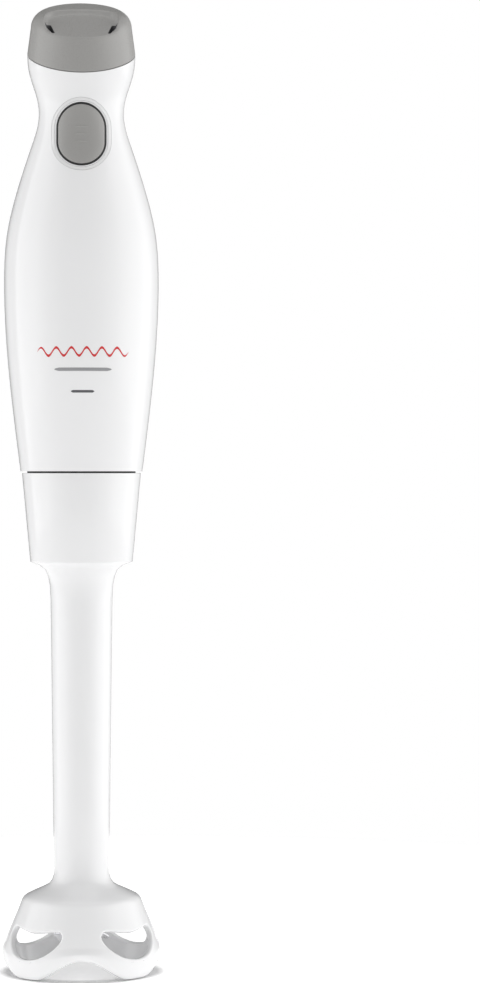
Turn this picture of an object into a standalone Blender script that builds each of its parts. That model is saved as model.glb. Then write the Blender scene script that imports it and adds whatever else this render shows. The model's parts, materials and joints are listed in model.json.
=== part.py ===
"""An immersion blender: a handle with a universal motor, and a screw-on foot with a four-window bell.

Sizes are in millimetres and are built in metres. +Z is up, the blender stands on its bell at z = 0, its
axis is the Z axis, and its button faces -Y.
"""

import math

import bmesh
import bpy
import numpy as np
from mathutils import Matrix, Vector

MM = 0.001
GAP = 0.3  # clearance between neighbouring pieces

# Handle: its outer radius at a few heights, joined by a smooth curve.
HANDLE_BOTTOM = 199.5
HANDLE_TOP = 377.0
HANDLE_CURVE = (
    (199.5, 24.3),
    (221.9, 27.1),
    (244.3, 29.4),
    (274.5, 30.8),
    (294.7, 29.5),
    (311.5, 25.5),
    (328.3, 20.1),
    (341.5, 16.9),
    (349.1, 18.0),
    (358.7, 20.9),
    (365.5, 21.5),
    (377.0, 20.8),
)
WALL = 2.2
HANDLE_RINGS = 19
SHELL_STEPS = 20

# Top cap: a slice with a tilted joint below, a tilted crest above and a dish scooped towards the front.
JOINT_TILT = math.radians(21)
JOINT_Z = 363.7
JOINT_RISE = 1.9  # how much higher the joint is at the sides than a flat tilted one
JOINT_REACH = 21.3
CREST_TILT = math.radians(22)
CREST_Z = 382.5
CAP_RADIUS = 20.1
CAP_FILLET = 6.0
DISH_TILT = math.radians(28)
DISH_Z = 380.3
DISH_CENTRE_Y = -9.0
DISH_HALF = (15.9, 15.5)
DISH_WALL_FROM = 0.84
DISH_WALL_RISE = 9.0
DISH_SOFTNESS = 0.8
CAP_STEPS = 32
SKIRT_DEPTH = 4.0
SKIRT_WALL = 1.8
SKIRT_GAP = 0.5
CAVITY_RISE = 1.3
EYE_SLOT_WIDTHS = (2.6, 1.2)
EYE_SLOT_ENDS = ((13.2, -8.4), (11.0, -15.2))
EYE_TUNNEL = ((-12.6, 12.6), (-14.2, -8.2), (365.0, 370.0))
CORD_Z = 377.5
CORD_BORE = 4.3
GLAND_HOLE = 3.3

# Power button: an oval on the front of the neck.
BUTTON_Z = 332.1
HOLE_HALF = (10.0, 12.85)
BUTTON_HALF = (9.2, 12.05)
SEAL_INSET = (0.15, 0.65)
BUTTON_PROUD = 0.6
BUTTON_BACK = -11.2
POST_END = -4.3
GUIDE_Y = (-6.4, -5.0)
LEVER_PIVOT = (0.0, -1.5, 323.0)
LEVER_LENGTH = 12.0
LEVER_ANGLE = math.radians(12)

# Joint between handle and foot: a two-start right-hand thread.
COLLAR_TOP = 198.8
THREAD_LEAD = 18.0
THREAD_STARTS = 2
THREAD_ARC = math.radians(70)
LUG_Z = 187.0
LUG_THICKNESS = 2.2
LUG_CLEARANCE = 0.4
SPIGOT_RADIUS = 17.2
SPIGOT_BOTTOM = 185.0
SOCKET_RADIUS = 20.0
SOCKET_FLOOR = 180.5

# Motor
SHAFT_RADIUS = 2.5
BORE = 2.75  # pieces pressed on a shaft
RUNNING_BORE = 2.65  # bushes that a shaft turns in
STACK = (238.0, 262.0)
STATOR_RADII = (18.5, 23.0)
POLE_RADII = (13.3, 15.2)
ARMATURE_RADIUS = 12.9
ARMATURE_SLOTS = 12
MOTOR_SCREW_X = 20.7
COMMUTATOR_Z = (273.0, 285.5)
COMMUTATOR_RADIUS = 10.0
BRUSH_Z = 280.0
FAN_Z = (208.0, 216.0)
FAN_RADIUS = 19.5
FAN_BLADES = 9
BRACKETS = (("lower", 221.0), ("upper", 287.0))
BRACKET_HALF = 22.9

# Foot
FOOT_STEPS = 36
RIM_ARCH = 8.2  # height of the front and rear arches between the bell's four feet
RIM_SIDE_ARCH = 4.2
RIM_FLAT = 0.9  # how far the wave is cut off below, which leaves a flat under each foot
RIM_BLEND_Z = 13.0  # the rim's wave fades out at this height
WINDOW_ANGLES = (45, 135, 225, 315)
WINDOW_RADIUS = 30.0
BLADE_Z = 13.6
BLADE_THICKNESS = 1.2
BLADE_LENGTH = 22.5
BLADE_REST_ANGLE = math.radians(-116)
BOSS_BOTTOM = 24.0
BUSH_SEAT = 5.5

MATERIALS = {
    "white_plastic": ((0.86, 0.86, 0.86), 0.22, 0.0),
    "grey_plastic": ((0.32, 0.32, 0.31), 0.38, 0.0),
    "black_rubber": ((0.02, 0.02, 0.02), 0.7, 0.0),
    "dark_nylon": ((0.08, 0.08, 0.09), 0.5, 0.0),
    "steel": ((0.62, 0.62, 0.64), 0.25, 1.0),
    "lamination": ((0.36, 0.37, 0.4), 0.5, 1.0),
    "copper": ((0.72, 0.33, 0.14), 0.35, 1.0),
    "bronze": ((0.6, 0.42, 0.2), 0.4, 1.0),
    "zinc": ((0.55, 0.56, 0.58), 0.45, 1.0),
    "carbon": ((0.05, 0.05, 0.05), 0.6, 0.0),
    "board": ((0.05, 0.22, 0.1), 0.5, 0.0),
    "component": ((0.55, 0.42, 0.1), 0.4, 0.0),
}


# ---------------------------------------------------------------- scene and object helpers


def clear_scene():
    for obj in list(bpy.data.objects):
        bpy.data.objects.remove(obj)


def make_materials():
    for name, (colour, roughness, metallic) in MATERIALS.items():
        material = bpy.data.materials.new(name)
        material.use_nodes = True
        shader = material.node_tree.nodes["Principled BSDF"]
        shader.inputs["Base Color"].default_value = (*colour, 1.0)
        shader.inputs["Roughness"].default_value = roughness
        shader.inputs["Metallic"].default_value = metallic


def make_empty(name, position=(0, 0, 0)):
    empty = bpy.data.objects.new(name, None)
    empty.location = Vector(position) * MM
    bpy.context.scene.collection.objects.link(empty)
    return empty


def facing_out(bm):
    """Turns every face of a closed shape outwards."""
    bmesh.ops.recalc_face_normals(bm, faces=bm.faces)
    if bm.calc_volume(signed=True) < 0:
        bmesh.ops.reverse_faces(bm, faces=bm.faces)
    return bm


def add_piece(name, bm, material, axis=None):
    """Turns a bmesh in millimetres into an object in metres, whose origin is that of its axis empty."""
    facing_out(bm)
    origin = axis.location.copy() if axis else Vector((0, 0, 0))
    bm.transform(Matrix.Translation(-origin) @ Matrix.Scale(MM, 4))
    mesh = bpy.data.meshes.new(name)
    bm.to_mesh(mesh)
    bm.free()
    mesh.shade_smooth()
    mesh.set_sharp_from_angle(angle=math.radians(35))
    obj = bpy.data.objects.new(name, mesh)
    bpy.context.scene.collection.objects.link(obj)
    if material:
        mesh.materials.append(bpy.data.materials[material])
    if axis:
        obj.parent = axis
    return obj


def helper(name, bm, axis=None):
    """A cutter or a shape to join, which is not a piece itself."""
    obj = add_piece(name, bm, None, axis)
    obj.hide_render = True
    obj.display_type = "WIRE"
    return obj


def combine(obj, other, operation="DIFFERENCE"):
    modifier = obj.modifiers.new(f"{operation.lower()} {other.name}", "BOOLEAN")
    modifier.operation = operation
    modifier.solver = "EXACT"
    modifier.object = other
    return obj


# ---------------------------------------------------------------- shapes, in millimetres


def turned(profile, steps=24, sweep=360.0, start=0.0):
    """A closed (radius, height) profile turned about Z. A part turn is closed at both ends."""
    bm = bmesh.new()
    turn = Matrix.Rotation(math.radians(start), 3, "Z")
    verts = [bm.verts.new(turn @ Vector((r, 0, z))) for r, z in profile]
    on_axis = [abs(r) < 1e-6 for r, _ in profile]
    edges = []
    for i in range(len(verts)):
        j = (i + 1) % len(verts)
        if not (on_axis[i] and on_axis[j]):
            edges.append(bm.edges.new((verts[i], verts[j])))
    full = abs(sweep - 360.0) < 1e-6
    if not full:
        bm.faces.new(verts)
    made = bmesh.ops.spin(
        bm,
        geom=edges,
        cent=(0, 0, 0),
        axis=(0, 0, 1),
        angle=math.radians(sweep),
        steps=steps,
        use_merge=False,
        use_duplicate=False,
    )
    if not full:
        last = [g for g in made["geom_last"] if isinstance(g, bmesh.types.BMVert)]
        turn_end = Matrix.Rotation(math.radians(sweep), 3, "Z")
        ordered = [min(last, key=lambda v: (v.co - turn_end @ w.co).length) for w in verts]
        bm.faces.new(ordered)
    bmesh.ops.remove_doubles(bm, verts=bm.verts, dist=1e-3)
    return bm


def rod(radius, low, high, steps=20, bore=0.0, centre=(0.0, 0.0)):
    """A cylinder along Z, or a tube where bore is given."""
    if bore:
        bm = turned([(radius, low), (radius, high), (bore, high), (bore, low)], steps)
    else:
        bm = turned([(0, low), (radius, low), (radius, high), (0, high)], steps)
    bmesh.ops.translate(bm, vec=(centre[0], centre[1], 0), verts=bm.verts)
    return bm


def laid_along_y(bm, height):
    """Turns a shape made along Z so that it lies along Y, at this height."""
    bm.transform(Matrix.Translation((0, 0, height)) @ Matrix.Rotation(math.radians(-90), 4, "X"))
    return bm


def block(x, y, z):
    """A box between the two ends given for each axis."""
    bm = bmesh.new()
    bmesh.ops.create_cube(bm, size=1.0)
    size = Matrix.Diagonal((x[1] - x[0], y[1] - y[0], z[1] - z[0], 1))
    centre = Matrix.Translation(((x[0] + x[1]) / 2, (y[0] + y[1]) / 2, (z[0] + z[1]) / 2))
    bm.transform(centre @ size)
    return bm


def join(*shapes):
    """Several bmeshes in one, as separate bodies, for use as a cutter."""
    bm = facing_out(shapes[0])
    for other in shapes[1:]:
        mesh = bpy.data.meshes.new("join")
        facing_out(other).to_mesh(mesh)
        other.free()
        bm.from_mesh(mesh)
        bpy.data.meshes.remove(mesh)
    return bm


def prism(outline, low, high):
    """An (x, y) outline extruded along Z."""
    bm = bmesh.new()
    face = bm.faces.new([bm.verts.new((x, y, low)) for x, y in outline])
    made = bmesh.ops.extrude_face_region(bm, geom=[face])
    top = [g for g in made["geom"] if isinstance(g, bmesh.types.BMVert)]
    bmesh.ops.translate(bm, vec=(0, 0, high - low), verts=top)
    return bm


def hexagon(radius):
    return [(radius * math.cos(k * math.pi / 3), radius * math.sin(k * math.pi / 3)) for k in range(6)]


def sector(radii, angles, heights, steps=8):
    """A piece of a thick tube between two radii, two angles in degrees and two heights."""
    (inner, outer), (first, last), (low, high) = radii, angles, heights
    profile = [(inner, low), (outer, low), (outer, high), (inner, high)]
    return turned(profile, steps, last - first, first)


def loft(rings, closed_ends=True):
    """Rings of equal length joined in order; each end is a face, or a fan when its ring is one point."""
    bm = bmesh.new()
    made = [[bm.verts.new(p) for p in ring] for ring in rings]
    for a, b in zip(made, made[1:]):
        if len(a) == 1 or len(b) == 1:
            point, ring = (a[0], b) if len(a) == 1 else (b[0], a)
            for i in range(len(ring)):
                bm.faces.new((point, ring[i], ring[(i + 1) % len(ring)]))
            continue
        for i in range(len(a)):
            j = (i + 1) % len(a)
            bm.faces.new((a[i], a[j], b[j], b[i]))
    if closed_ends:
        for ring in (made[0], made[-1]):
            if len(ring) > 2:
                bm.faces.new(ring)
    return bm


def loop_of_rings(rings):
    """Rings joined in order, and the last to the first, as a closed band."""
    return loft([*rings, rings[0]], closed_ends=False)


def welded(bm):
    bmesh.ops.remove_doubles(bm, verts=bm.verts, dist=1e-4)
    return bm


def coil(radius, wire, turns, length, sides=6, steps_per_turn=10):
    """A coil spring's wire along Z, from 0 to length."""
    rings = []
    steps = int(turns * steps_per_turn)
    for k in range(steps + 1):
        angle = 2 * math.pi * turns * k / steps
        height = wire + (length - 2 * wire) * k / steps
        out = Vector((math.cos(angle), math.sin(angle), 0))
        ring = []
        for s in range(sides):
            around = 2 * math.pi * s / sides
            up = Vector((0, 0, height + wire * math.sin(around)))
            ring.append(out * (radius + wire * math.cos(around)) + up)
        rings.append(ring)
    return loft(rings)


def helical_rib(radii, base, start, steps=7):
    """A thread rib: a block that climbs with the thread's lead over THREAD_ARC."""
    inner, outer = radii
    rings = []
    for k in range(steps + 1):
        turn = THREAD_ARC * k / steps
        low = base + THREAD_LEAD * turn / (2 * math.pi)
        angle = start + turn
        corners = ((inner, low), (outer, low), (outer, low + LUG_THICKNESS), (inner, low + LUG_THICKNESS))
        rings.append([Vector((r * math.cos(angle), r * math.sin(angle), z)) for r, z in corners])
    return loft(rings)


def smooth_curve(points):
    """A natural cubic spline through (position, value) points, as a function."""
    x = np.array([p[0] for p in points], float)
    y = np.array([p[1] for p in points], float)
    h = np.diff(x)
    n = len(x)
    matrix = np.eye(n)
    right = np.zeros(n)
    for i in range(1, n - 1):
        matrix[i, i - 1 : i + 2] = h[i - 1], 2 * (h[i - 1] + h[i]), h[i]
        right[i] = 6 * ((y[i + 1] - y[i]) / h[i] - (y[i] - y[i - 1]) / h[i - 1])
    bend = np.linalg.solve(matrix, right)

    def value(position):
        i = int(np.clip(np.searchsorted(x, position) - 1, 0, n - 2))
        a, b = x[i + 1] - position, position - x[i]
        linear = (y[i] / h[i] - bend[i] * h[i] / 6) * a + (y[i + 1] / h[i] - bend[i + 1] * h[i] / 6) * b
        return float((bend[i] * a**3 + bend[i + 1] * b**3) / (6 * h[i]) + linear)

    return value


handle_radius = smooth_curve(HANDLE_CURVE)


def joint_height(y):
    """Height of the tilted joint between cap and shells."""
    return JOINT_Z + math.tan(JOINT_TILT) * y + JOINT_RISE * (1 - (y / JOINT_REACH) ** 2)


def oval(half, grow=0.0, steps=32):
    """An (x, z) outline round the button's centre: two half circles joined by short straight sides."""
    points = []
    for k in range(steps):
        angle = 2 * math.pi * (k + 0.5) / steps
        x, z = (half[0] + grow) * math.cos(angle), (half[0] + grow) * math.sin(angle)
        points.append((x, z + math.copysign(half[1] - half[0], z)))
    return points


def handle_front(x, z, out=0.0):
    """The Y of the handle's front surface, moved out by this much."""
    radius = handle_radius(z) + out
    return -math.sqrt(max(radius**2 - x**2, 0.0))


# ---------------------------------------------------------------- handle


def half_shell(name, side):
    """One half of the handle's housing; side is -1 for the front and 1 for the rear."""
    heights = np.linspace(HANDLE_BOTTOM, HANDLE_TOP, HANDLE_RINGS)
    outer = [(handle_radius(z), z) for z in heights]
    inner = [(handle_radius(z) - WALL, z) for z in reversed(heights)]
    bm = turned(outer + inner, SHELL_STEPS, 180.0, 180.0 if side < 0 else 0.0)
    bmesh.ops.translate(bm, vec=(0, side * GAP / 2, 0), verts=bm.verts)
    shell = add_piece(name, bm, "white_plastic")
    line = [(y, joint_height(y)) for y in np.linspace(-30, 30, 25)]
    above = prism(line + [(30, 420), (-30, 420)], -40, 40)
    above.transform(Matrix(((0, 0, 1, 0), (1, 0, 0, 0), (0, 1, 0, 0), (0, 0, 0, 1))))
    return combine(shell, helper(name + "_top_cut", above))


def make_shells():
    front = half_shell("front_shell", -1)
    hole = prism([(x, z + BUTTON_Z) for x, z in oval(HOLE_HALF)], 5, 30)
    hole.transform(Matrix.Rotation(math.radians(90), 4, "X"))
    combine(front, helper("button_hole", hole))
    rear = half_shell("rear_shell", 1)
    vents = [vent_slot(z) for z in (206, 210, 214, 218, 222, 300, 304, 308, 312)]
    combine(rear, helper("vent_slots", join(*vents)))


def vent_slot(z):
    """A cooling slot through the rear wall, with round ends."""
    half_length, half_height = 8.0, 0.9
    outline = []
    for k in range(8):
        angle = 2 * math.pi * (k + 0.5) / 8
        side = half_length if math.cos(angle) > 0 else -half_length
        outline.append((side + half_height * math.cos(angle), half_height * math.sin(angle)))
    bm = prism(outline, 12, 40)
    bm.transform(Matrix.Translation((0, 0, z)) @ Matrix.Rotation(math.radians(-90), 4, "X"))
    return bm


def smooth_min(a, b, softness):
    h = max(softness - abs(a - b), 0.0) / softness
    return min(a, b) - h * h * softness / 4


def cap_top(x, y):
    """Height of the cap's top: a filleted slanting crest with a dish scooped out of it."""
    edge = max(CAP_RADIUS - math.hypot(x, y), 0.0)
    crest = CREST_Z + math.tan(CREST_TILT) * y
    if edge < CAP_FILLET:
        crest -= CAP_FILLET - math.sqrt(CAP_FILLET**2 - (CAP_FILLET - edge) ** 2)
    power = 2.6
    reach = (abs(x) / DISH_HALF[0]) ** power + (abs(y - DISH_CENTRE_Y) / DISH_HALF[1]) ** power
    beyond = max(reach ** (1 / power) - DISH_WALL_FROM, 0.0) / (1 - DISH_WALL_FROM)
    dish = DISH_Z + math.tan(DISH_TILT) * y + DISH_WALL_RISE * beyond**2
    return smooth_min(crest, dish, DISH_SOFTNESS)


def cap_body():
    """The cap as a stack of rings: top surface, side wall, underside, locating skirt and ceiling."""
    angles = [2 * math.pi * k / CAP_STEPS for k in range(CAP_STEPS)]

    def ring(radius_at, height_at):
        points = []
        for angle in angles:
            radius = radius_at(angle)
            x, y = radius * math.sin(angle), -radius * math.cos(angle)
            points.append(Vector((x, y, height_at(x, y, angle))))
        return points

    def joint_of(angle):
        """Height where the cap meets the shells at this angle."""
        height = JOINT_Z
        for _ in range(6):
            height = joint_height(-handle_radius(height) * math.cos(angle))
        return height

    rings = [[Vector((0, 0, cap_top(0, 0)))]]
    for share in (0.22, 0.42, 0.58, 0.7, 0.79, 0.86, 0.92, 0.965, 0.99, 1.0):
        rings.append(ring(lambda a, s=share: s * CAP_RADIUS, lambda x, y, a: cap_top(x, y)))
    for share in (0.35, 0.7, 1.0):
        rings.append(
            ring(
                lambda a, s=share: CAP_RADIUS + (handle_radius(joint_of(a)) - CAP_RADIUS) * s,
                lambda x, y, a, s=share: (
                    cap_top(CAP_RADIUS * math.sin(a), -CAP_RADIUS * math.cos(a)) * (1 - s)
                    + (joint_of(a) + GAP / 2) * s
                ),
            )
        )

    def skirt_radius(angle):
        return handle_radius(joint_of(angle) - SKIRT_DEPTH - 0.2) - WALL - SKIRT_GAP

    for inset, rise in ((0, GAP / 2), (0, -SKIRT_DEPTH), (SKIRT_WALL, -SKIRT_DEPTH), (SKIRT_WALL, CAVITY_RISE)):
        rings.append(
            ring(
                lambda a, i=inset: skirt_radius(a) - i,
                lambda x, y, a, r=rise: joint_height(y) + r,
            )
        )
    rings.append([Vector((0, 0, joint_height(0) + CAVITY_RISE))])
    return loft(rings)


def make_cap():
    cap = add_piece("top_cap", cap_body(), "grey_plastic")
    slots = []
    for side in (-1, 1):
        (x0, y0), (x1, y1) = EYE_SLOT_ENDS
        a, b = Vector((side * x0, y0)), Vector((side * x1, y1))
        along = (b - a).normalized()
        across = Vector((-along.y, along.x)) / 2
        wide, narrow = EYE_SLOT_WIDTHS
        corners = [a + across * wide, a - across * wide, b - across * narrow, b + across * narrow]
        slots.append(prism([tuple(c) for c in corners], EYE_TUNNEL[2][0] + 0.5, 392))
    combine(cap, helper("eye_slots", join(*slots)))
    combine(cap, helper("eye_tunnel", block(*EYE_TUNNEL)))
    combine(cap, helper("cord_bore", laid_along_y(rod(CORD_BORE, 6.0, 30.0, 16), CORD_Z)))
    combine(cap, helper("cord_shaft", rod(CORD_BORE - 0.6, 355.0, CORD_Z, 16, centre=(0, 9.4))))
    outside = 22.4
    profile = [
        (GLAND_HOLE, 12.0),
        (CORD_BORE - GAP, 12.0),
        (CORD_BORE - GAP, outside - 1.0),
        (CORD_BORE + 1.4, outside - 1.0),
        (CORD_BORE + 1.2, outside + 0.5),
        (GLAND_HOLE, outside + 0.9),
    ]
    add_piece("cord_gland", laid_along_y(turned(profile, 16), CORD_Z), "black_rubber")


# ---------------------------------------------------------------- button and switch


def button_pad(half, front_out, back, shares=(0.35, 0.62, 0.82, 0.94, 1.0)):
    """A solid with the handle's own front surface, crowned towards its edge, and a flat back."""
    rings = [[Vector((0, handle_front(0, BUTTON_Z, front_out), BUTTON_Z))]]
    for share in shares:
        ring = []
        for x, z in oval(half):
            out = front_out - 0.5 * share**10
            px, pz = x * share, BUTTON_Z + z * share
            ring.append(Vector((px, handle_front(px, pz, out), pz)))
        rings.append(ring)
    rings.append([Vector((x, back, z + BUTTON_Z)) for x, z in oval(half)])
    return loft(rings)


def make_button():
    axis = make_empty("button_axis", (0, BUTTON_BACK, BUTTON_Z))
    button = add_piece("power_button", button_pad(BUTTON_HALF, BUTTON_PROUD, BUTTON_BACK), "grey_plastic", axis)
    post = laid_along_y(rod(2.0, BUTTON_BACK - 1.5, POST_END, 14), BUTTON_Z)
    combine(button, helper("button_post", post, axis), "UNION")
    for name, sign in (("lower", -1), ("upper", 1)):
        heights = sorted((BUTTON_Z + sign * 10.5, BUTTON_Z + sign * (HOLE_HALF[1] + 1.6)))
        tab = block((-4, 4), (BUTTON_BACK - 1.2, BUTTON_BACK + 0.6), heights)
        combine(button, helper(f"button_tab_{name}", tab, axis), "UNION")

    outer, inner = (oval(HOLE_HALF, -inset) for inset in SEAL_INSET)
    front, depth = -0.5, 2.2
    rings = []
    for outline, out in ((outer, front), (inner, front - 0.3), (inner, front - depth), (outer, front - depth)):
        rings.append([Vector((x, handle_front(x, z + BUTTON_Z, out), z + BUTTON_Z)) for x, z in outline])
    add_piece("button_seal", welded(loop_of_rings(rings)), "black_rubber")

    spring = coil(3.1, 0.3, 3.0, GUIDE_Y[0] - BUTTON_BACK - 2 * GAP)
    bmesh.ops.translate(spring, vec=(0, 0, BUTTON_BACK + GAP), verts=spring.verts)
    add_piece("button_spring", laid_along_y(spring, BUTTON_Z), "steel")

    guide = add_piece("button_guide", block((-10.5, 10.5), GUIDE_Y, (318.0, 346.0)), "dark_nylon")
    combine(guide, helper("post_hole", laid_along_y(rod(2.4, -9, 0, 14), BUTTON_Z)))


def make_switch():
    body = add_piece("switch_body", block((-3.2, 3.2), (-1.0, 5.4), (321.0, 340.5)), "dark_nylon")
    plunger_z = LEVER_PIVOT[2] + 3.5
    combine(body, helper("plunger_hole", laid_along_y(rod(1.4, -3, 1.2, 12), plunger_z)))
    axis = make_empty("plunger_axis", (0, -1.6, plunger_z))
    add_piece("switch_plunger", laid_along_y(rod(1.05, -1.6, 0.2, 12), plunger_z), "component", axis)
    pivot = make_empty("lever_pivot", LEVER_PIVOT)
    leaf = block((-2.0, 2.0), (-0.15, 0.15), (-0.4, LEVER_LENGTH))
    place = Matrix.Translation(LEVER_PIVOT) @ Matrix.Rotation(LEVER_ANGLE, 4, "X")
    leaf.transform(place)
    add_piece("switch_lever", leaf, "steel", pivot)


def make_board():
    add_piece("control_board", block((-11, 11), (5.7, 7.3), (300, 345)), "board")
    add_piece("suppressor_capacitor", block((-8.5, 8.5), (-3.0, 5.4), (301.5, 316)), "component")
    add_piece("terminal_block", block((-6.5, 6.5), (7.6, 12.0), (331, 342)), "zinc")
    for name, x in (("choke_left", -5.5), ("choke_right", 5.5)):
        add_piece(name, rod(3.4, 303, 321, 16, centre=(x, 11.1)), "copper")


# ---------------------------------------------------------------- motor


def make_stator():
    low, high = STACK
    inner, outer = STATOR_RADII
    stator = add_piece("stator_core", rod(outer, low, high, 32, bore=inner), "lamination")
    for name, middle in (("front", 270), ("rear", 90)):
        neck = sector((POLE_RADII[1] - 0.4, inner + 0.6), (middle - 28, middle + 28), STACK)
        face = sector(POLE_RADII, (middle - 52, middle + 52), STACK, 12)
        combine(stator, helper(f"pole_neck_{name}", neck), "UNION")
        combine(stator, helper(f"pole_face_{name}", face), "UNION")
        wire = (POLE_RADII[1] + GAP, inner - GAP)
        winding = sector(wire, (middle - 62, middle + 62), (low - 5.5, high + 5.5), 14)
        window = sector((wire[0] - 2, wire[1] + 2), (middle - 33, middle + 33), (low - 1.2, high + 1.2), 10)
        winding_piece = add_piece(f"field_coil_{name}", winding, "copper")
        combine(winding_piece, helper(f"coil_window_{name}", window))
    holes = [rod(1.75, low - 2, high + 2, 12, centre=(x, 0)) for x in (-MOTOR_SCREW_X, MOTOR_SCREW_X)]
    combine(stator, helper("stator_screw_holes", join(*holes)))


def make_brackets():
    for name, low in BRACKETS:
        strip = block((-BRACKET_HALF, BRACKET_HALF), (-7, 7), (low, low + 3.5))
        bar = add_piece(f"{name}_bracket", strip, "zinc")
        combine(bar, helper(f"{name}_hub", rod(8.0, low, low + 6.5, 20)), "UNION")
        bores = [rod(5.7, low - 2, low + 9, 20)]
        bores += [rod(1.75, low - 2, low + 9, 12, centre=(x, 0)) for x in (-MOTOR_SCREW_X, MOTOR_SCREW_X)]
        combine(bar, helper(f"{name}_bores", join(*bores)))
        bearing = rod(5.5, low + 0.4, low + 6.1, 20, bore=RUNNING_BORE)
        add_piece(f"{name}_bearing", bearing, "bronze")
        heights = (low, low + 3.5)
        wall = min(handle_radius(z) for z in heights) - WALL - GAP
        reach = math.sqrt(wall**2 - 3.5**2)
        for side, sign in (("left", -1), ("right", 1)):
            pad = block(sorted((sign * (BRACKET_HALF + GAP), sign * reach)), (-3.5, 3.5), heights)
            add_piece(f"{name}_mount_{side}", pad, "black_rubber")
    for side, sign in (("left", -1), ("right", 1)):
        head = BRACKETS[0][1] - GAP
        screw = turned([(0, head - 2.2), (2.9, head - 2.2), (2.9, head), (1.4, head), (1.4, 294), (0, 294)], 12)
        bmesh.ops.translate(screw, vec=(sign * MOTOR_SCREW_X, 0, 0), verts=screw.verts)
        add_piece(f"motor_screw_{side}", screw, "steel")


def make_brushes():
    for name, sign in (("front", -1), ("rear", 1)):

        def span(near, far, direction=sign):
            return sorted((direction * near, direction * far))

        holder = add_piece(
            f"brush_holder_{name}", block((-4, 4), span(12, 24.6), (BRUSH_Z - 4.5, BRUSH_Z + 4.5)), "dark_nylon"
        )
        channel = block((-2.6, 2.6), span(11, 23.6), (BRUSH_Z - 2.6, BRUSH_Z + 2.6))
        combine(holder, helper(f"brush_channel_{name}", channel))
        brush = block((-2.3, 2.3), span(10.3, 17.5), (BRUSH_Z - 2.3, BRUSH_Z + 2.3))
        add_piece(f"carbon_brush_{name}", brush, "carbon")
        spring = coil(1.6, 0.25, 4.0, 5.4, sides=5, steps_per_turn=8)
        bmesh.ops.translate(spring, vec=(0, 0, 17.9 if sign > 0 else -23.3), verts=spring.verts)
        add_piece(f"brush_spring_{name}", laid_along_y(spring, BRUSH_Z), "steel")


def slotted_outline(radius, slots, depth, mouth):
    """The outline of a laminated armature: teeth with T-shaped heads between open slots."""
    points = []
    for k in range(slots):
        middle = 2 * math.pi * k / slots
        pitch = 2 * math.pi / slots
        head, neck = pitch * (1 - mouth) / 2, pitch * 0.2
        for angle, r in (
            (-head, radius),
            (0, radius),
            (head, radius),
            (head, radius - 1.2),
            (neck, radius - 2.0),
            (pitch / 2, radius - depth),
        ):
            points.append((r * math.cos(middle + angle), r * math.sin(middle + angle)))
        for angle, r in ((pitch - neck, radius - 2.0), (pitch - head, radius - 1.2)):
            points.append((r * math.cos(middle + angle), r * math.sin(middle + angle)))
    return points


def make_armature():
    axis = make_empty("armature_axis")
    add_piece("armature_shaft", rod(SHAFT_RADIUS, 191.3, 297, 20), "steel", axis)
    outline = slotted_outline(ARMATURE_RADIUS, ARMATURE_SLOTS, 5.5, 0.22)
    core = add_piece("armature_core", prism(outline, *STACK), "lamination", axis)
    combine(core, helper("core_bore", rod(BORE, STACK[0] - 5, STACK[1] + 5, 20), axis))
    for name, low, high in (("lower", 229.0, STACK[0] - GAP), ("upper", STACK[1] + GAP, 270.5)):
        middle = (low + high) / 2
        profile = [(3.2, low), (9.0, low), (11.4, middle - 1.5), (11.4, middle + 1.5), (9.0, high), (3.2, high)]
        add_piece(f"winding_head_{name}", turned(profile, 24), "copper", axis)
    low, high = COMMUTATOR_Z
    commutator = add_piece("commutator", rod(COMMUTATOR_RADIUS, low, high, 36, bore=BORE), "copper", axis)
    cuts = []
    for k in range(ARMATURE_SLOTS):
        cut = block((COMMUTATOR_RADIUS - 0.8, COMMUTATOR_RADIUS + 1), (-0.25, 0.25), (low + 1.5, high + 1))
        cut.transform(Matrix.Rotation(2 * math.pi * (k + 0.5) / ARMATURE_SLOTS, 4, "Z"))
        cuts.append(cut)
    combine(commutator, helper("commutator_cuts", join(*cuts), axis))
    make_fan(axis)
    coupler = add_piece("drive_coupler", rod(6.2, 192.5, 198.6, 20), "dark_nylon", axis)
    combine(coupler, helper("coupler_tongue", prism(hexagon(3.4), 187.0, 193.5), axis), "UNION")
    combine(coupler, helper("coupler_bore", rod(BORE, 191.0, 200.0, 20), axis))


def make_fan(axis):
    low, high = FAN_Z
    fan = add_piece("cooling_fan", rod(FAN_RADIUS, high - 1.2, high, 36), "dark_nylon", axis)
    combine(fan, helper("fan_hub", rod(6.0, low, high - 0.4, 20), axis), "UNION")
    blades = []
    for k in range(FAN_BLADES):
        blade = block((6.8, FAN_RADIUS - 0.8), (-0.6, 0.6), (low + 0.6, high - 0.6))
        lean = Matrix.Rotation(math.radians(-18), 4, "Z") @ Matrix.Translation((-6.8, 0, 0))
        turn = Matrix.Rotation(2 * math.pi * k / FAN_BLADES, 4, "Z")
        blade.transform(turn @ Matrix.Translation((6.8, 0, 0)) @ lean)
        blades.append(blade)
    combine(fan, helper("fan_blades", join(*blades), axis), "UNION")
    combine(fan, helper("fan_bore", rod(BORE, low - 3, high + 3, 20), axis))


# ---------------------------------------------------------------- joint between handle and foot


def thread_ribs(name, radii, base, body):
    for k in range(THREAD_STARTS):
        start = 2 * math.pi * k / THREAD_STARTS
        combine(body, helper(f"{name}_{k + 1}", helical_rib(radii, base, start)), "UNION")


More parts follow.
